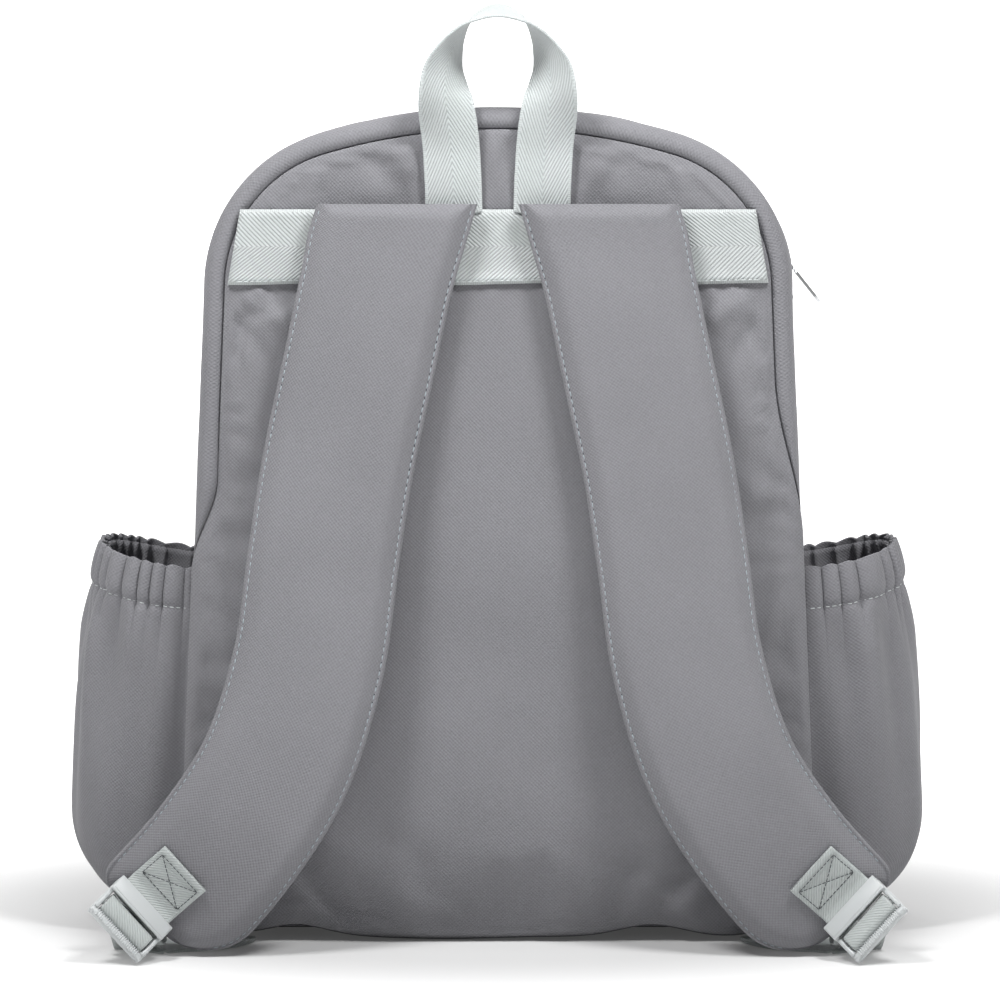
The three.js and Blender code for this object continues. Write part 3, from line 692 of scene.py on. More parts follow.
def roll_points(face, out, wall=3.4):
    """Outer and inner points of a gusset that rolls over a panel's edge and dips into its seam."""
    outer = [(0, 12), (0.15, 8), (0.7, 5), (1.9, 2.6), (3.8, 0.7)]
    outer += [(6, -0.3), (8.3, -0.1), (10, 0.9), (10.9, 2.3)]
    inner = [(10.9, 4.2), (8, 5), (wall + 1.6, 6.4), (wall, 10)]
    step = lambda points: [(i, face - out * back * MM) for i, back in points]
    return step(outer), step(inner)


def low_roll(stations, inset, y):
    """Narrows the rear roll low down and lifts the base's rear edge off the floor."""
    near = 1 - smooth(BACK + 3 * MM, BACK + 16 * MM, y)
    lift = base_lift(stations) * (1 - smooth(BACK + 25 * MM, BACK + 60 * MM, y))
    seam = np.maximum(seam_inset(stations) - base_lift(stations), 0.5 * MM)
    share = 1 - (1 - seam / ROLL) * near
    return inset * share + lift, y + (1 - share) * 5 * MM


def make_shell():
    outer, inner = roll_points(BACK, -1)
    steps = [(0, y) for y in np.linspace(BACK + 20 * MM, GUSSET_END - 2 * MM, 12)]
    wall = [(3.4, y) for y in np.linspace(BACK + 20 * MM, GUSSET_END - 2 * MM, 6)]
    section = outer[::-1] + steps + [(0.3, GUSSET_END), (3, GUSSET_END)] + wall[::-1] + inner[::-1]
    loop = bag_loop(1.2)
    shell = sweep("shell_gusset", loop, section, MAT["cloth"], True, gusset_wobble, low_roll)
    place(shell, "shell", "cloth", "top_gusset", "side_gusset_left", "side_gusset_right", "base_panel")
    outer, inner = roll_points(FRONT, 1)
    start = GUSSET_END + 0.3 * MM
    floor = [(0, y) for y in np.linspace(start, FRONT - 16 * MM, 4)]
    roof = [(3.4, y) for y in np.linspace(start, FRONT - 14 * MM, 4)]
    section = floor + outer + inner + roof[::-1]
    tray = sweep("base_front", base(ZIP_LOW - 1 * MM), section, MAT["cloth"])
    place(tray, "shell", "cloth")


def make_lining():
    """The inside of the main compartment: the back, the walls and the base."""
    loop = bag_loop()
    edge = outline(loop, 9 * MM)
    rows = []
    for share in np.linspace(0, 1, 16):
        xz = CENTRE + (edge - CENTRE) * share
        dip = 0.8 * MM * noise_at(np.stack([xz[:, 0], xz[:, 1], xz[:, 0] * 0], 1), 0.06, 5)
        rows.append(np.stack([xz[:, 0], LINING_Y + 1 * MM + dip, xz[:, 1]], 1))
    walls = [(5, y) for y in np.linspace(LINING_Y + 8 * MM, GUSSET_END, 8)]
    for inset, y in [(6, LINING_Y + 3 * MM)] + walls:
        xz = outline(loop, inset * MM)
        rows.append(np.stack([xz[:, 0], np.full(len(xz), y), xz[:, 1]], 1))
    lining = grid("main_lining", np.array(rows), MAT["lining"], closed_u=True)
    solid = lining.modifiers.new("cloth", "SOLIDIFY")
    solid.thickness, solid.offset = 0.8 * MM, 0
    place(lining, "shell", "lining", "back_panel_lining")


# ---- Webbing ----


def panel_face(x, z, lift):
    """A point on the back panel's face, lifted off it."""
    x, z = np.asarray(x, float), np.asarray(z, float)
    edge = PANEL["edge"]
    away = np.min(np.hypot(x[..., None] - edge[:, 0], z[..., None] - edge[:, 1]), axis=-1)
    return np.stack([x, panel_depth(x, z, away) - lift, z], -1)


def make_yoke():
    low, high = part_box("yoke_webbing")[0].z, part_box("yoke_webbing")[1].z
    rows = []
    thick = 1.6 * MM
    for share in np.linspace(0, 1, 11):
        half = (134.5 - share * 6.5) * MM
        x = np.linspace(-half, half, 120)
        z = low + (high - low) * share + 0.5 * MM * np.sin(x * 60) * (1 - share)
        rows.append(panel_face(x, z, 0.5 * MM + thick))
    top = np.array(rows)
    under = top + np.array([0, thick, 0])
    P = np.concatenate([top, under[::-1]], 0).transpose(1, 0, 2)
    u = np.concatenate([np.linspace(0, high - low, 11), np.linspace(high - low, 0, 11), [0]])
    uv = np.stack(np.meshgrid(u, walk(top[0])), 2)
    yoke = grid("yoke", P, MAT["webbing_wide"], closed_u=True, caps=True, uv=uv)
    place(yoke, "shell", "webbing_wide", "yoke_webbing")
    line = top[0][2:-2] + np.array([0, -0.1 * MM, 1.6 * MM])
    facing = np.tile([0, -1.0, 0], (len(line), 1))
    stitch = dashes("yoke_stitch", line, facing, MAT["thread_pale"], 3.2 * MM, 2.3 * MM, 0.3 * MM)
    place(stitch, "shell", "thread_pale")


HANDLE_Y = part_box("handle_end_left")[0].y + 0.8 * MM
HANDLE_LEG = [  # x, height and the webbing's turn in degrees, up the left leg to the top
    (-21.8, 366.5, 0),
    (-22.2, 382, 0),
    (-23.2, 400, 0),
    (-24.4, 411, 4),
    (-25.8, 421, 16),
    (-26.4, 431, 36),
    (-25.0, 442, 54),
    (-20.4, 453.5, 66),
    (-12.5, 462.5, 78),
    (0, 467, 90),
]


def make_handle():
    leg = np.array(HANDLE_LEG)
    other = leg[::-1][1:] * [-1, 1, -1] + [0, 0, 180]
    line = np.vstack([leg, other])
    path = spline(np.column_stack([line[:, 0], np.zeros(len(line)), line[:, 1], line[:, 2]]), 140)
    turn = np.radians(path[:, 3])
    x, z = path[:, 0] * MM, path[:, 2] * MM
    forward = 4.5 * MM * np.exp(-(((z - 0.426) / 0.014) ** 2)) + 1.5 * MM * smooth(0.395, 0.412, z)
    at = np.stack([x, HANDLE_Y - forward, z], 1)
    across = np.stack([-np.cos(turn), -np.sin(turn), -0.24 * np.sin(turn)], 1)
    handle = soften(ribbon("grab_handle", at, across, 28.4 * MM, 1.6 * MM, MAT["webbing"]))
    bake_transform(handle)
    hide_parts("handle_loop", "handle_end_left", "handle_end_right")


# ---- Shoulder straps ----
STRAP_LINE = [  # x, height and distance off the bag, in mm
    (50, 371.5, 0),
    (58, 343, 1),
    (68.3, 295, 4),
    (79.3, 242.6, 9),
    (86.4, 196.5, 15.5),
    (93.6, 146, 23),
    (109.7, 95.3, 29),
    (136.4, 53.5, 30),
    (170, 15, 24.5),
]
STRAP_W, STRAP_TOP_W = 75 * MM, 79.5 * MM
STRAP_T = 11 * MM
CORNER_OUT, CORNER_IN = 10 * MM, 32 * MM
STRAP_BACK = BACK - 4.4 * MM


def strap_frames(side, shares):
    """Middle, normal, width direction and distance from the end, at shares of the strap's length."""
    line = [(side * x * MM, STRAP_BACK - off * MM, z * MM) for x, z, off in STRAP_LINE]
    dense = spline(line, 400)
    length = walk(dense)[-1]
    at = spline(line, at=shares)
    ahead = spline(line, at=np.clip(np.asarray(shares) + 0.003, 0, 1))
    behind = spline(line, at=np.clip(np.asarray(shares) - 0.003, 0, 1))
    tangent = unit(ahead - behind)
    out = np.array([0, -1.0, 0])
    normal = unit(out + tangent * tangent[:, 1:2])
    square = np.cross(normal, tangent)
    turn = smooth(0, 45 * MM, length * np.asarray(shares))[:, None]
    across = unit(np.array([1.0, 0, 0]) * (1 - turn) + square * turn)
    return at, normal, across, length * (1 - np.asarray(shares)), length


def strap_half(side, sign, left, length):
    """Half the strap's width on one side, at a distance from its end."""
    radius = CORNER_OUT if sign * side > 0 else CORNER_IN
    short = np.maximum(0, radius - left)
    half = STRAP_W / 2 - radius + np.sqrt(np.maximum(radius**2 - short**2, 0))
    start = 1 - smooth(0, 45 * MM, length - left)
    return half + (STRAP_TOP_W - STRAP_W) / 2 * start


def strap_thickness(inside):
    """Thickness of the sewn and padded strap at a distance from its edge."""
    bead = 4.2 * MM * np.sqrt(np.clip(inside / (1.1 * MM), 0, 1))
    pinch = -1.0 * MM * np.exp(-(((inside - 2.3 * MM) / (0.8 * MM)) ** 2))
    pad = (STRAP_T - 4.2 * MM) * smooth(2.0 * MM, 11 * MM, inside) ** 0.8
    return bead + pinch + pad


def strap_point(frames, side, w, lift_share):
    """A point of the strap at w, from -1 to 1 across it; lift_share is 0 on its back and 1 on its face."""
    at, normal, across, left, length = frames
    half = strap_half(side, 1 if w >= 0 else -1, left, length)
    inside = np.minimum((1 - abs(w)) * half, left)
    inside = np.where(length - left < 15 * MM, np.minimum(inside, length - left + 3.4 * MM), inside)
    thick = strap_thickness(np.maximum(inside, 0))
    middle = 4.2 * MM
    rise = middle + (lift_share - 0.36) * thick
    return at + across * (w * half)[:, None] + normal * rise[:, None]


def strap_shares(length):
    ends = np.array([0, 0.25, 0.6, 1.1, 1.7, 2.4, 3.1, 3.8, 4.6, 5.6, 7, 9, 11.5, 14.5, 18]) * MM / length
    middle = np.linspace(22 * MM / length, 1 - 22 * MM / length, 76)
    return np.concatenate([ends, middle, 1 - ends[::-1]])


def strap_columns(half=37.5):
    edge = np.array([0, 0.25, 0.6, 1.1, 1.7, 2.4, 3.1, 3.8, 4.6, 5.8, 7.6, 10, 13, 17, 22, 28]) / half
    left = -1 + edge
    return np.concatenate([left, [0.0], -left[::-1]])


def make_strap(side, name):
    length = strap_frames(side, [0, 1])[4]
    shares = strap_shares(length)
    frames = strap_frames(side, shares)
    columns = strap_columns()
    face = [strap_point(frames, side, w, 1.0) for w in columns]
    rear = [strap_point(frames, side, w, 0.0) for w in columns[1:-1][::-1]]
    P = np.stack(face + rear, 1)
    puff = noise_at(P, 0.045, 4 + side) * 0.7 * MM
    n = len(columns)
    inner = np.zeros(P.shape[1])
    inner[: n] = np.clip(1 - np.abs(columns) ** 4, 0, 1)
    P += (frames[1][:, None] * (puff * inner[None])[..., None])
    strap = grid(
        f"{name}_strap_pad",
        P,
        [MAT["cloth"], MAT["strap_lining"]],
        closed_u=True,
        caps=True,
        material_of=lambda j, i: 0 if i < n else 1,
    )
    place(strap, f"{name}_strap", "cloth", *[f"{name}_strap_{k}" for k in ("lining", "foam", "cover")])
    make_strap_stitching(side, name, length)


def make_strap_stitching(side, name, length):
    """Pale stitches along both long edges, with near-black dashes between them that paint the shade in the
    needle holes.
    """
    inside = 2.2 * MM
    frames = strap_frames(side, np.linspace(2.5 * MM / length, 1 - 12 * MM / length, 300))
    pale, dark = [], []
    for sign in (-1, 1):
        half = strap_half(side, sign, frames[3], length)
        points = []
        for k, w in enumerate(sign * (1 - inside / half)):
            one = [f[k : k + 1] for f in frames[:4]] + [length]
            points.append(strap_point(one, side, w, 1.0)[0])
        points, facing = np.array(points), frames[1]
        pale.append(dashes("pale", points, facing, MAT["thread"], 4.0 * MM, 2.7 * MM, 0.42 * MM))
        half_step = int(round(2.0 * MM / walk(points)[-1] * len(points)))
        points, facing = points[half_step:], facing[half_step:]
        # near-black dashes between the pale stitches: painted shade in the needle holes
        row = dashes("dark", points, facing, MAT["hole"], 4.0 * MM, 1.6 * MM, 0.5 * MM, 0.25 * MM)
        dark.append(row)
    place(merge(f"{name}_strap_stitching", pale), f"{name}_strap", "thread")
    place(merge(f"{name}_strap_needle_holes", dark), f"{name}_strap", "hole")


# ---- Strap end: tab, buckle and adjuster ----
BUCKLE_X, BUCKLE_Z, BUCKLE_OFF = 177 * MM, 25.2 * MM, 5 * MM
BUCKLE_DROP, BUCKLE_LEAN = math.radians(42), math.radians(43)
BAR_R = 1.6 * MM
MIDDLE_BAR = 11.6 * MM
WEB_W, WEB_T = 30 * MM, 1.5 * MM


def strap_face_y(side, x, z):
    shares = np.linspace(0.7, 1, 120)
    at, normal, across, _, _ = strap_frames(side, shares)
    face = at + normal * STRAP_T
    miss = np.abs((x - face[:, 0]) * across[:, 2] - (z - face[:, 2]) * across[:, 0])
    return face[np.argmin(miss), 1]


def buckle_axes(side):
    down = np.array([side * math.cos(BUCKLE_DROP), 0, -math.sin(BUCKLE_DROP)])
    out = np.array([0, -1.0, 0])
    along = down * math.cos(BUCKLE_LEAN) + out * math.sin(BUCKLE_LEAN)
    face = out * math.cos(BUCKLE_LEAN) - down * math.sin(BUCKLE_LEAN)
    x = side * BUCKLE_X
    centre = np.array([x, strap_face_y(side, x, BUCKLE_Z) - BUCKLE_OFF, BUCKLE_Z])
    return centre, np.cross(along, face), along, face, down


def make_buckle(side, name):
    centre, bars, along, face, _ = buckle_axes(side)
    m = Matrix([[bars[k], along[k], face[k], centre[k]] for k in range(3)] + [[0, 0, 0, 1]])
    parts = []
    width, rail = 36, 2.7

    def add(size, at, bevel):
        size, at = [v * MM for v in size], [v * MM for v in at]
        parts.append(block("piece", size, at, MAT["plastic"], bevel * MM, m))

    for s in (-1, 1):
        x = s * (width - rail) / 2
        add((rail, 25, 3.6), (x, 9, 0), 1.0)
        add((rail, 9, 5.4), (x, 1, 2.4), 1.0)
        add((2.2, 13, 1.6), (x, 11.5, 2.2), 0.7)
    add((width, 9.8, 1.5), (0, 0.9, 4.7), 0.7)
    add((34.6, 7.4, 0.5), (0, 0.9, 5.45), 0.22)
    add((width, 4.4, 3.8), (0, 19.3, 0), 1.5)
    for k in range(24):
        add((0.62, 4.0, 0.8), (-13.8 + k * 1.2, 19.2, 1.75), 0.25)
    for y in (0, MIDDLE_BAR / MM):
        add((35, 3.2, 3.2), (0, y, 0), 1.4)
    buckle = merge(f"{name}_ladder_lock", parts)
    place(buckle, f"{name}_buckle_body", "plastic", f"{name}_buckle")


def box_stitch(name, corners, normal, material):
    """A stitched rectangle with a cross through it."""
    a, b, c, d = [np.asarray(p) for p in corners]
    lines = []
    for k, (p, q) in enumerate([(a, b), (b, c), (c, d), (d, a), (a, c), (b, d)]):
        points = p + (q - p) * np.linspace(0, 1, 12)[:, None]
        facing = np.tile(normal, (12, 1))
        lines.append(dashes(f"{name}_{k}", points, facing, material, 2.3 * MM, 2.1 * MM, 0.24 * MM, 0.0))
    return merge(name, lines)


def make_tab(side, name):
    centre, bars, along, face, down = buckle_axes(side)
    points = []
    for back, lift in ((31, 2.6), (28.5, 2.4), (25, 1.3), (19, 1.0), (13, 1.1), (8, 1.6)):
        p = centre - down * back * MM
        p[1] = strap_face_y(side, p[0], p[2]) - lift * MM
        points.append(p)
    flat = points[1:5]
    r = BAR_R + 0.4 * MM + WEB_T / 2
    for angle in np.radians((100, 65, 30, 0, -30, -65, -100, -130)):
        points.append(centre + along * r * math.cos(angle) + face * r * math.sin(angle))
    at = spline(points, 70)
    tab = ribbon(f"{name}_tab", at, np.tile(bars, (70, 1)), WEB_W, WEB_T, MAT["tab"])
    place(tab, f"{name}_strap", "tab", f"{name}_strap_tab")
    fold = at[:5] + [0, 0.9 * MM, 0]
    hem = ribbon(f"{name}_tab_fold", fold, np.tile(bars, (5, 1)), WEB_W - 0.6 * MM, 1.6 * MM, MAT["tab"])
    place(hem, f"{name}_strap", "tab")
    a, b = flat[0], flat[3]
    normal = unit(np.cross(bars, b - a))
    normal = normal if normal[1] < 0 else -normal
    run = unit(b - a)
    lift = normal * (WEB_T / 2 + 0.1 * MM)
    low, high = a + run * 0.8 * MM + lift * 1.8, a + run * 15 * MM + lift
    w = bars * 12.6 * MM
    corners = [low - w, low + w, high + w, high - w]
    stitch = box_stitch(f"{name}_tab_stitching", corners, normal, MAT["thread_dark"])
    place(stitch, f"{name}_strap", "thread_dark")


def make_adjuster(side, name):
    """Webbing from a short tail over the buckle's middle bar, then along the floor to the base."""
    centre, bars, along, face, _ = buckle_axes(side)
    local = [(15.9, -3.6), (16.0, -1), (15.9, 1.0), (14.6, 2.7), (11.6, 3.3)]
    local += [(8.6, 2.9), (6.9, 1.5), (6.3, -1), (6.2, -4)]
    path = [centre + along * y * MM + face * z * MM for y, z in local]
    widths = [bars] * len(path)
    floor = [  # x, y and height on the floor, then the direction of the width
        (181.5, -113, 15, (-0.72, 0.12, -0.68)),
        (180, -105, 7.5, (-0.74, 0.4, -0.54)),
        (176, -97, 2.6, (-0.5, 0.84, -0.2)),
        (168, -92.5, 1.3, (-0.1, 0.99, 0)),
        (158, -90.5, 1.3, (0.05, 1, 0)),
        (149, -88, 1.3, (0.3, 0.95, 0)),
        (142, -83, 1.3, (0.6, 0.8, 0)),
        (138, -76, 1.2, (0.9, 0.44, 0)),
        (137, -69, 1.0, (1, 0.1, 0)),
    ]
    for x, y, z, w in floor:
        path.append(np.array([side * x * MM, y * MM + PLACE_Y, z * MM]))
        widths.append(unit(np.array(w) * [side, 1, 1]))
    both = spline(np.column_stack([path, widths]), 170)
    past_bar = 80
    down = past_bar + int(np.argmax(both[past_bar:, 2] < 14 * MM))
    parts = (
        ("adjuster", both[: down + 2], f"{name}_buckle_body"),
        ("anchor", both[down:], "shell"),
    )
    for piece, part, body in parts:
        web = ribbon(f"{name}_{piece}", part[:, :3], part[:, 3:], WEB_W - 0.8 * MM, WEB_T, MAT["tab"])
        place(web, body, "tab", f"{name}_{piece}_web")


def make_wing(side, name):
    corners = [(126, 5), (143, 6.5), (143, 26), (118, 20)]
    face = BACK - 1.2 * MM
    rows = []
    a, b, c, d = [np.array([side * x * MM, face, z * MM]) for x, z in corners]
    for v in np.linspace(0, 1, 8):
        left, right = a + (d - a) * v, b + (c - b) * v
        u = np.linspace(0, 1, 10)[:, None]
        crown = np.array([0, -1.2 * MM, 0]) * np.sin(math.pi * u)
        rows.append(left + (right - left) * u + crown)
    wing = grid(f"{name}_wing", np.array(rows), MAT["cloth"])
    solid = wing.modifiers.new("cloth", "SOLIDIFY")
    solid.thickness, solid.offset = 2.2 * MM, 0
    place(wing, "shell", "cloth", f"{name}_anchor_wing")


# ---- Side pockets ----
POCKET_SEED = 1.7
POCKET = {"rear": -63, "front": 42, "low": 9, "rim": 188, "lift": 10, "bulge": 60, "mouth": 50}


def side_x(z):
    return (SHOULDER_X + SHOULDER_R * math.cos(LEAN)) / MM + (SIDE_TOP / MM - z) * math.tan(LEAN)


def rim_walk():
    """Share of the rim's length walked at each share u round the pocket."""
    u = np.linspace(0, 1, 401)
    turn = math.pi * u
    x = POCKET["mouth"] * np.sin(turn) ** 0.6
    y = -53 * np.sign(np.cos(turn)) * np.abs(np.cos(turn)) ** 0.8
    s = np.concatenate([[0], np.cumsum(np.hypot(np.diff(x), np.diff(y)))])
    return u, s / s[-1]


RIM_U, RIM_S = rim_walk()


def tuck_phase(u, seed):
    """Which tuck of the gathered rim a place lies in; their widths vary."""
    s = float(np.interp(u, RIM_U, RIM_S))
    return 18 * s + 0.34 * math.sin(11 * s + seed) + 0.24 * math.sin(29 * s + 2 * seed), s


def rim_height(u):
    return POCKET["rim"] + POCKET["lift"] * math.sin(math.pi * u)


def pocket_point(side, u, z, inset=0.0):
    """A point of the gathered pocket, at u round it and at a height, in mm."""
    p = POCKET
    seed = POCKET_SEED * side
    rim = rim_height(u)
    turn = math.pi * u
    rise = min(1, max(0, (z - p["low"]) / 55))
    full = max(0, 1 - (1 - rise) ** 2.3) ** (1 / 2.3)
    narrow = max(0, (z - 100) / (rim - 100))
    reach = (p["bulge"] - (p["bulge"] - p["mouth"]) * narrow**2) * full
    half = (p["front"] - p["rear"]) / 2
    across = math.sin(turn) ** 0.6 if 0 < u < 1 else 0
    along = -math.copysign(abs(math.cos(turn)) ** 0.8, math.cos(turn))
    depth = rim - z
    phase, s = tuck_phase(u, seed)
    lean = 0.012 * max(0, depth - 20)
    tuck = 2 * abs(math.sin(math.pi * phase)) ** 0.55 - 1.25
    height = 0.75 + 0.35 * math.sin(2.4 * math.floor(phase) + seed)
    fold = math.sin(2 * math.pi * (5.1 * s + 0.2 * lean) + 1.3 * seed)
    fold += 0.7 * math.sin(2 * math.pi * (8.3 * s - 0.3 * lean))
    in_hem = 1 / (1 + math.exp((depth - 21) / 1.5))
    below = (1 - in_hem) * math.exp(-max(0, depth - 20) / 13)
    long_fade = (1 - in_hem) * math.exp(-max(0, depth - 20) / 62) * min(1, max(0, depth - 18) / 26)
    pinch = -1.5 * math.exp(-(((depth - 20) / 2.2) ** 2))
    ends = math.sin(turn) ** 0.2 if 0 < u < 1 else 0
    puff = 1.2 * math.sin(math.pi * min(1, max(0, depth) / 20)) ** 0.6 * in_hem
    gathers = 3.3 * tuck * height * (in_hem + 0.75 * below)
    push = (gathers + 4.2 * fold * long_fade + pinch + puff) * ends - inset
    x = side_x(z) + 0.3 + max(0, (reach + push * 0.8) * across)
    y = (p["front"] + p["rear"]) / 2 + (half + push) * along
    return side * x * MM, y * MM + PLACE_Y, z * MM


def make_pocket(side, name):
    around = np.interp(np.linspace(0, 1, 260), RIM_S, RIM_U)
    hem = [0, 0.8, 2, 4, 7, 10, 13, 16, 18, 19, 20, 21, 22, 24, 27, 31, 36]
    depths = np.concatenate([hem, np.linspace(42, 100, 14)])
    rows = []
    for depth in depths:
        row = []
        for u in around:
            ruffle = 1.6 * abs(math.sin(math.pi * tuck_phase(u, POCKET_SEED * side)[0]))
            row.append(pocket_point(side, u, rim_height(u) - depth + ruffle * math.exp(-depth / 12)))
        rows.append(row)
    base_rows = []
    for share in np.linspace(0, 1, 22)[1:]:
        row = []
        for u in around:
            top = rim_height(u) - 100
            z = top - (top - POCKET["low"]) * (1 - (1 - share) ** 1.5)
            row.append(pocket_point(side, u, z))
        base_rows.append(row)
    P = np.array(rows + base_rows)
    sway = noise_at(P, 0.05, 8 + side) * 1.6 * MM
    fade = np.sin(math.pi * around) ** 0.5
    P[..., 0] += side * sway * fade[None] * np.linspace(0.2, 1, len(P))[:, None]
    pocket = grid(f"{name}_side_pocket", P, MAT["cloth"])
    solid = pocket.modifiers.new("cloth", "SOLIDIFY")
    solid.thickness, solid.offset = 1.5 * MM, 0
    soften(pocket)
    place(pocket, "shell", "cloth", f"{name}_pocket")
    make_hem(side, name, around)


def make_hem(side, name, around):
    """The elastic inside a pocket's hem and the stitching under it."""

    def hem_line(places, depth, inset):
        return [pocket_point(side, u, rim_height(u) - depth, inset) for u in places]

    band = [hem_line(around[9:-9], depth, 2.2) for depth in (2, 5, 8, 11, 14, 17, 19)]
    hem = grid(f"{name}_hem_elastic", np.array(band), MAT["cloth"])
    solid = hem.modifiers.new("cloth", "SOLIDIFY")
    solid.thickness, solid.offset = 1.0 * MM, 0
    place(hem, "shell", "cloth", f"{name}_pocket_elastic")
    line = np.array(hem_line(around[3:-3], 20, -0.9))
    out = line - np.array([side * 160 * MM, PLACE_Y - 10.5 * MM, 0])
    out[:, 2] = 0
    stitch = dashes(f"{name}_hem_stitching", line, out, MAT["thread_pale"], 3.4 * MM, 2.3 * MM, 0.34 * MM)
    place(stitch, "shell", "thread_pale")


# ---- Zips ----


def zip_half(name, stations, node_tape, node_coil, body, side):
    """One tape with its half of the coil. side is -1 for the rear half and 1 for the front one."""
    tape_lo, tape_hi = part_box(node_tape)
    coil_lo, coil_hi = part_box(node_coil)
    section = [(1.4, tape_lo.y), (1.4, tape_hi.y), (2.4, tape_hi.y), (2.4, tape_lo.y)]
    tape = sweep(f"{name}_tape", stations, section, MAT["tape"])
    place(tape, body, "tape", node_tape)
    edge = outline(stations, 1.2 * MM)
    s = walk(edge)
    pitch = 2.0 * MM
    count = int(s[-1] / pitch)
    verts, faces = [], []
    y_in, y_out = (coil_lo.y, coil_hi.y + 0.5 * MM) if side < 0 else (coil_hi.y, coil_lo.y - 0.5 * MM)
    for i in range(count):
        mid = (i + (0.25 if side < 0 else 0.75)) * pitch
        x, z = np.interp(mid, s, edge[:, 0]), np.interp(mid, s, edge[:, 1])
        a = np.interp(mid, s, stations[:, 3])
        t = np.array([-math.sin(a), 0, math.cos(a)])
        n = np.array([math.cos(a), 0, math.sin(a)])
        first = len(verts)
        for y, fat in ((y_in, 0.8), (y_in + (y_out - y_in) * 0.5, 1.0), (y_out, 1.25)):
            for dt, dn in ((-0.42, -0.6), (0.42, -0.6), (0.5, 0.4), (0, 0.95), (-0.5, 0.4)):
                verts.append(np.array([x, y, z]) + t * dt * fat * MM + n * dn * fat * MM)
        for r in range(2):
            near, far = first + r * 5, first + r * 5 + 5
            for k in range(5):
                b = (k + 1) % 5
                faces.append([near + k, near + b, far + b, far + k])
        faces += [[first + k for k in range(5)], [first + 10 + k for k in range(5)]]
    mesh = bpy.data.meshes.new(f"{name}_teeth")
    mesh.from_pydata([v.tolist() for v in verts], [], faces)
    tidy_mesh(mesh, False)
    place(new_object(f"{name}_teeth", mesh, MAT["coil"]), body, "coil", node_coil)


def make_zips():
    main = arch(ZIP_LOW)
    zip_half("main_rear", main, "main_zip_tape_rear", "main_zip_coil_rear", "shell", -1)
    zip_half("main_front", main, "main_zip_tape_front", "main_zip_coil_front", "main_flap", 1)
    pocket = racket_arch(RACKET_RIM)
    zip_half("racket_rear", pocket, "racket_zip_tape_rear", "racket_zip_coil_rear", "main_flap", -1)
    zip_half("racket_front", pocket, "racket_zip_tape_front", "racket_zip_coil_front", "racket_flap", 1)


# ---- The front ----


def make_front():
    outer, inner = roll_points(FRONT, 1)
    top = [(0, FLAP_START), (0, FLAP_START + 3 * MM)]
    section = top + outer + inner + [(3.4, FLAP_START + 3 * MM), (3.4, FLAP_START)]
    gusset = sweep("flap_gusset", arch(ZIP_LOW), section, MAT["cloth"])
    place(gusset, "main_flap", "cloth", "front_gusset")

    def face(xz, away):
        points = np.stack([xz[:, 0], 0 * xz[:, 0], xz[:, 1]], 1)
        plump = 1.8 * smooth(0, 8 * MM, away) * (1 - smooth(0.018, 0.05, away))
        return FRONT + (plump - 0.6 + 0.3 * noise_at(points, 0.06, 11) * smooth(0, 0.01, away)) * MM

    panel = disc("flap_panel", bag_loop(), ROLL + 0.2 * MM, CENTRE, face, FRONT - 4.6 * MM, "cloth", rings=30)
    place(panel, "main_flap", "cloth", "front_panel_cover", "front_panel_foam")


def make_racket_pocket():
    rim = RACKET_RIM
    lo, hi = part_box("racket_rear_gusset")
    section = [(0, lo.y), (0, hi.y), (2.6, hi.y), (2.6, lo.y)]
    strip = sweep("racket_strip", racket_arch(rim), section, MAT["cloth"])
    place(strip, "main_flap", "cloth", "racket_rear_gusset")
    outer, inner = roll_points(RACKET, 1, wall=2.6)
    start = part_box("racket_front_gusset")[0].y
    section = [(0, start)] + outer[1:] + inner[:-1] + [(2.6, start)]
    gusset = sweep("racket_gusset", racket_arch(rim), section, MAT["cloth"])
    place(gusset, "racket_flap", "cloth", "racket_front_gusset")
    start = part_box("racket_pocket_base")[0].y
    walls = [(0, y) for y in np.linspace(start, RACKET - 14 * MM, 5)]
    rear = [(2.6, y) for y in np.linspace(start, RACKET - 14 * MM, 5)]
    section = walls + outer[1:] + inner[:-1] + rear[::-1]
    floor = sweep("racket_base", racket_base(rim - 0.4 * MM), section, MAT["cloth"])
    place(floor, "main_flap", "cloth", "racket_pocket_base")

    def face(xz, away):
        points = np.stack([xz[:, 0], 0 * xz[:, 0], xz[:, 1]], 1)
        rise = 2.8 * smooth(0, 0.03, away) - 0.6 + 1.2 * noise_at(points, 0.07, 13) * smooth(0, 0.02, away)
        return RACKET + rise * MM

    middle, back = np.array([0, 0.22]), RACKET - 3 * MM
    panel = disc("racket_face", racket_loop(), ROLL + 0.2 * MM, middle, face, back, "cloth", rings=34)
    place(panel, "racket_flap", "cloth", "racket_panel")


def finish_cad_nodes():
    """Materials of the CAD nodes that are kept as they are."""
    kept = {"base_board": "board"}
    for slider in ("main_lower", "main_upper", "racket_left", "racket_right"):
        kept[f"{slider}_slider"] = kept[f"{slider}_pull"] = "metal"
    for node, material in kept.items():
        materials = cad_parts[node].data.materials
        materials.clear()
        materials.append(MAT[material])


# ---- Studio ----


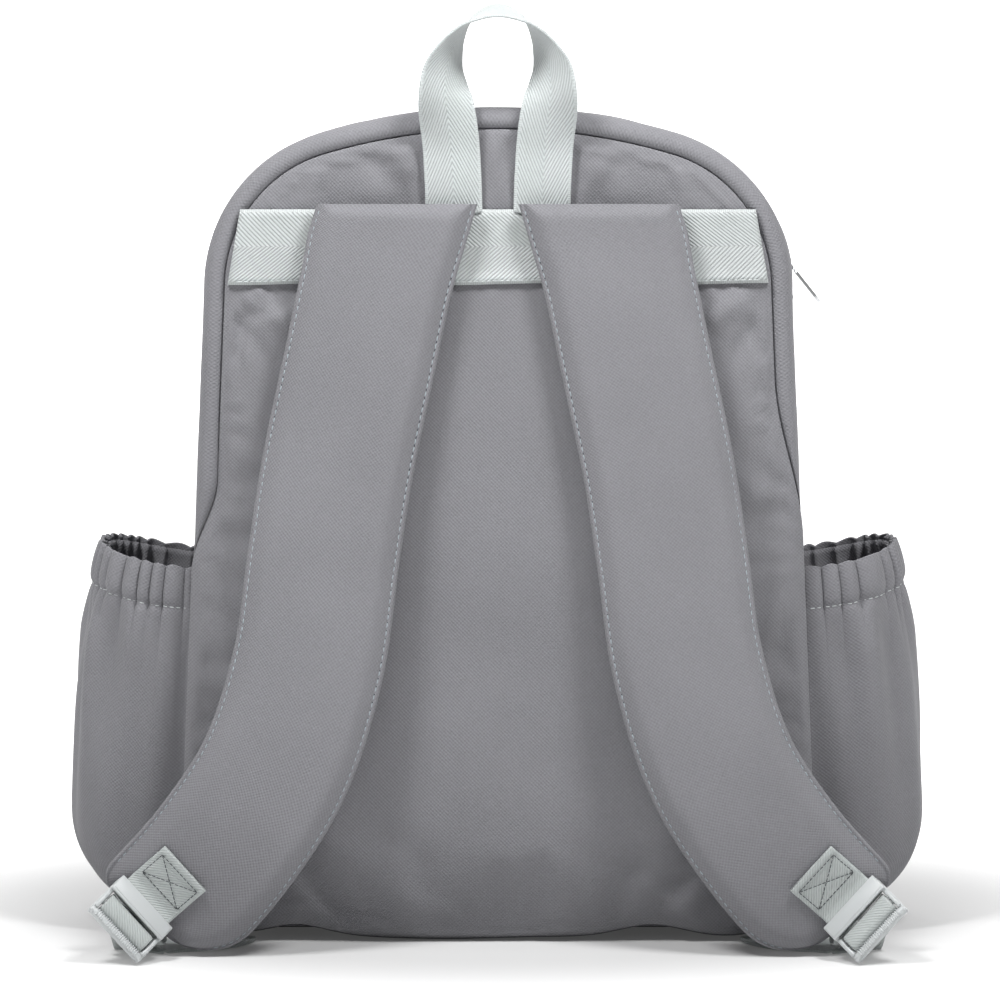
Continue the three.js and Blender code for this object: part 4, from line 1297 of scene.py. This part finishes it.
def glow_away(material, near, far, low, high):
    """Makes a floor glow more away from the bag, so that the shadow beside it stays dark."""
    tree = material.node_tree
    where = tree.nodes.new("ShaderNodeTexCoord")
    squash = tree.nodes.new("ShaderNodeVectorMath")
    squash.operation = "MULTIPLY"
    squash.inputs[1].default_value = (0.68, 1, 0)
    away = tree.nodes.new("ShaderNodeVectorMath")
    away.operation = "LENGTH"
    ramp = tree.nodes.new("ShaderNodeMapRange")
    ramp.interpolation_type = "SMOOTHSTEP"
    for k, value in zip((1, 2, 3, 4), (near, far, low, high)):
        ramp.inputs[k].default_value = value
    tree.links.new(where.outputs["Object"], squash.inputs[0])
    tree.links.new(squash.outputs[0], away.inputs[0])
    tree.links.new(away.outputs["Value"], ramp.inputs[0])
    tree.links.new(ramp.outputs[0], tree.nodes["Principled BSDF"].inputs["Emission Strength"])


def make_studio():
    for name, shade, place_at, turn, glow in (
        ("floor", 0.6, (0, 0.02, 0), (0, 0, 0), 0.0),
        ("backdrop", 0.9, (0, 3.6, 3.5), (math.pi / 2, 0, 0), 1.1),
    ):
        bpy.ops.mesh.primitive_plane_add(size=8.0, location=place_at, rotation=turn)
        obj = bpy.context.object
        obj.name = name
        m = plain(name, (shade, shade, shade), 0.9)
        shader = m.node_tree.nodes["Principled BSDF"]
        shader.inputs["Emission Color"].default_value = (1, 1, 1, 1)
        shader.inputs["Emission Strength"].default_value = glow
        if name == "floor":
            glow_away(m, 0.13, 0.31, 0.05, 0.9)
        obj.data.materials.append(m)
    world = bpy.data.worlds.new("studio")
    bpy.context.scene.world = world
    world.use_nodes = True
    world.node_tree.nodes["Background"].inputs[0].default_value = (1, 1, 1, 1)
    world.node_tree.nodes["Background"].inputs[1].default_value = 0.05
    for name, at, size, energy in (
        ("overhead", (0, 0.15, 2.3), 1.4, 3),
        ("left", (-0.42, -0.52, 1.15), 0.3, 10.6),
        ("right", (0.42, -0.52, 1.15), 0.3, 10.4),
    ):
        light = bpy.data.lights.new(name, "AREA")
        light.shape, light.size, light.energy = "DISK", size, energy
        lamp = bpy.data.objects.new(name, light)
        bpy.context.scene.collection.objects.link(lamp)
        lamp.location = at
        lamp.rotation_euler = (Vector((0, 0, 0.3)) - Vector(at)).to_track_quat("-Z", "Y").to_euler()
    bpy.context.scene.view_settings.view_transform = "Standard"


def make_camera():
    camera = bpy.data.cameras.new("camera")
    camera.sensor_width = 36
    camera.lens = 144
    obj = bpy.data.objects.new("camera", camera)
    bpy.context.scene.collection.objects.link(obj)
    target = Vector((0.001, BACK, 0.224))
    elevation = math.radians(5)
    distance = 2.0
    obj.location = target + Vector((0, -math.cos(elevation), math.sin(elevation))) * distance
    obj.rotation_euler = (target - obj.location).to_track_quat("-Z", "Y").to_euler()
    camera.clip_start = 0.1
    bpy.context.scene.camera = obj


make_camera()
make_studio()
make_shell()
make_back_panel()
make_lining()
make_yoke()
make_handle()
for name, side in SIDES:
    make_strap(side, name)
    make_tab(side, name)
    make_buckle(side, name)
    make_adjuster(side, name)
    make_wing(side, name)
    make_pocket(side, name)
make_front()
make_racket_pocket()
make_zips()
finish_cad_nodes()
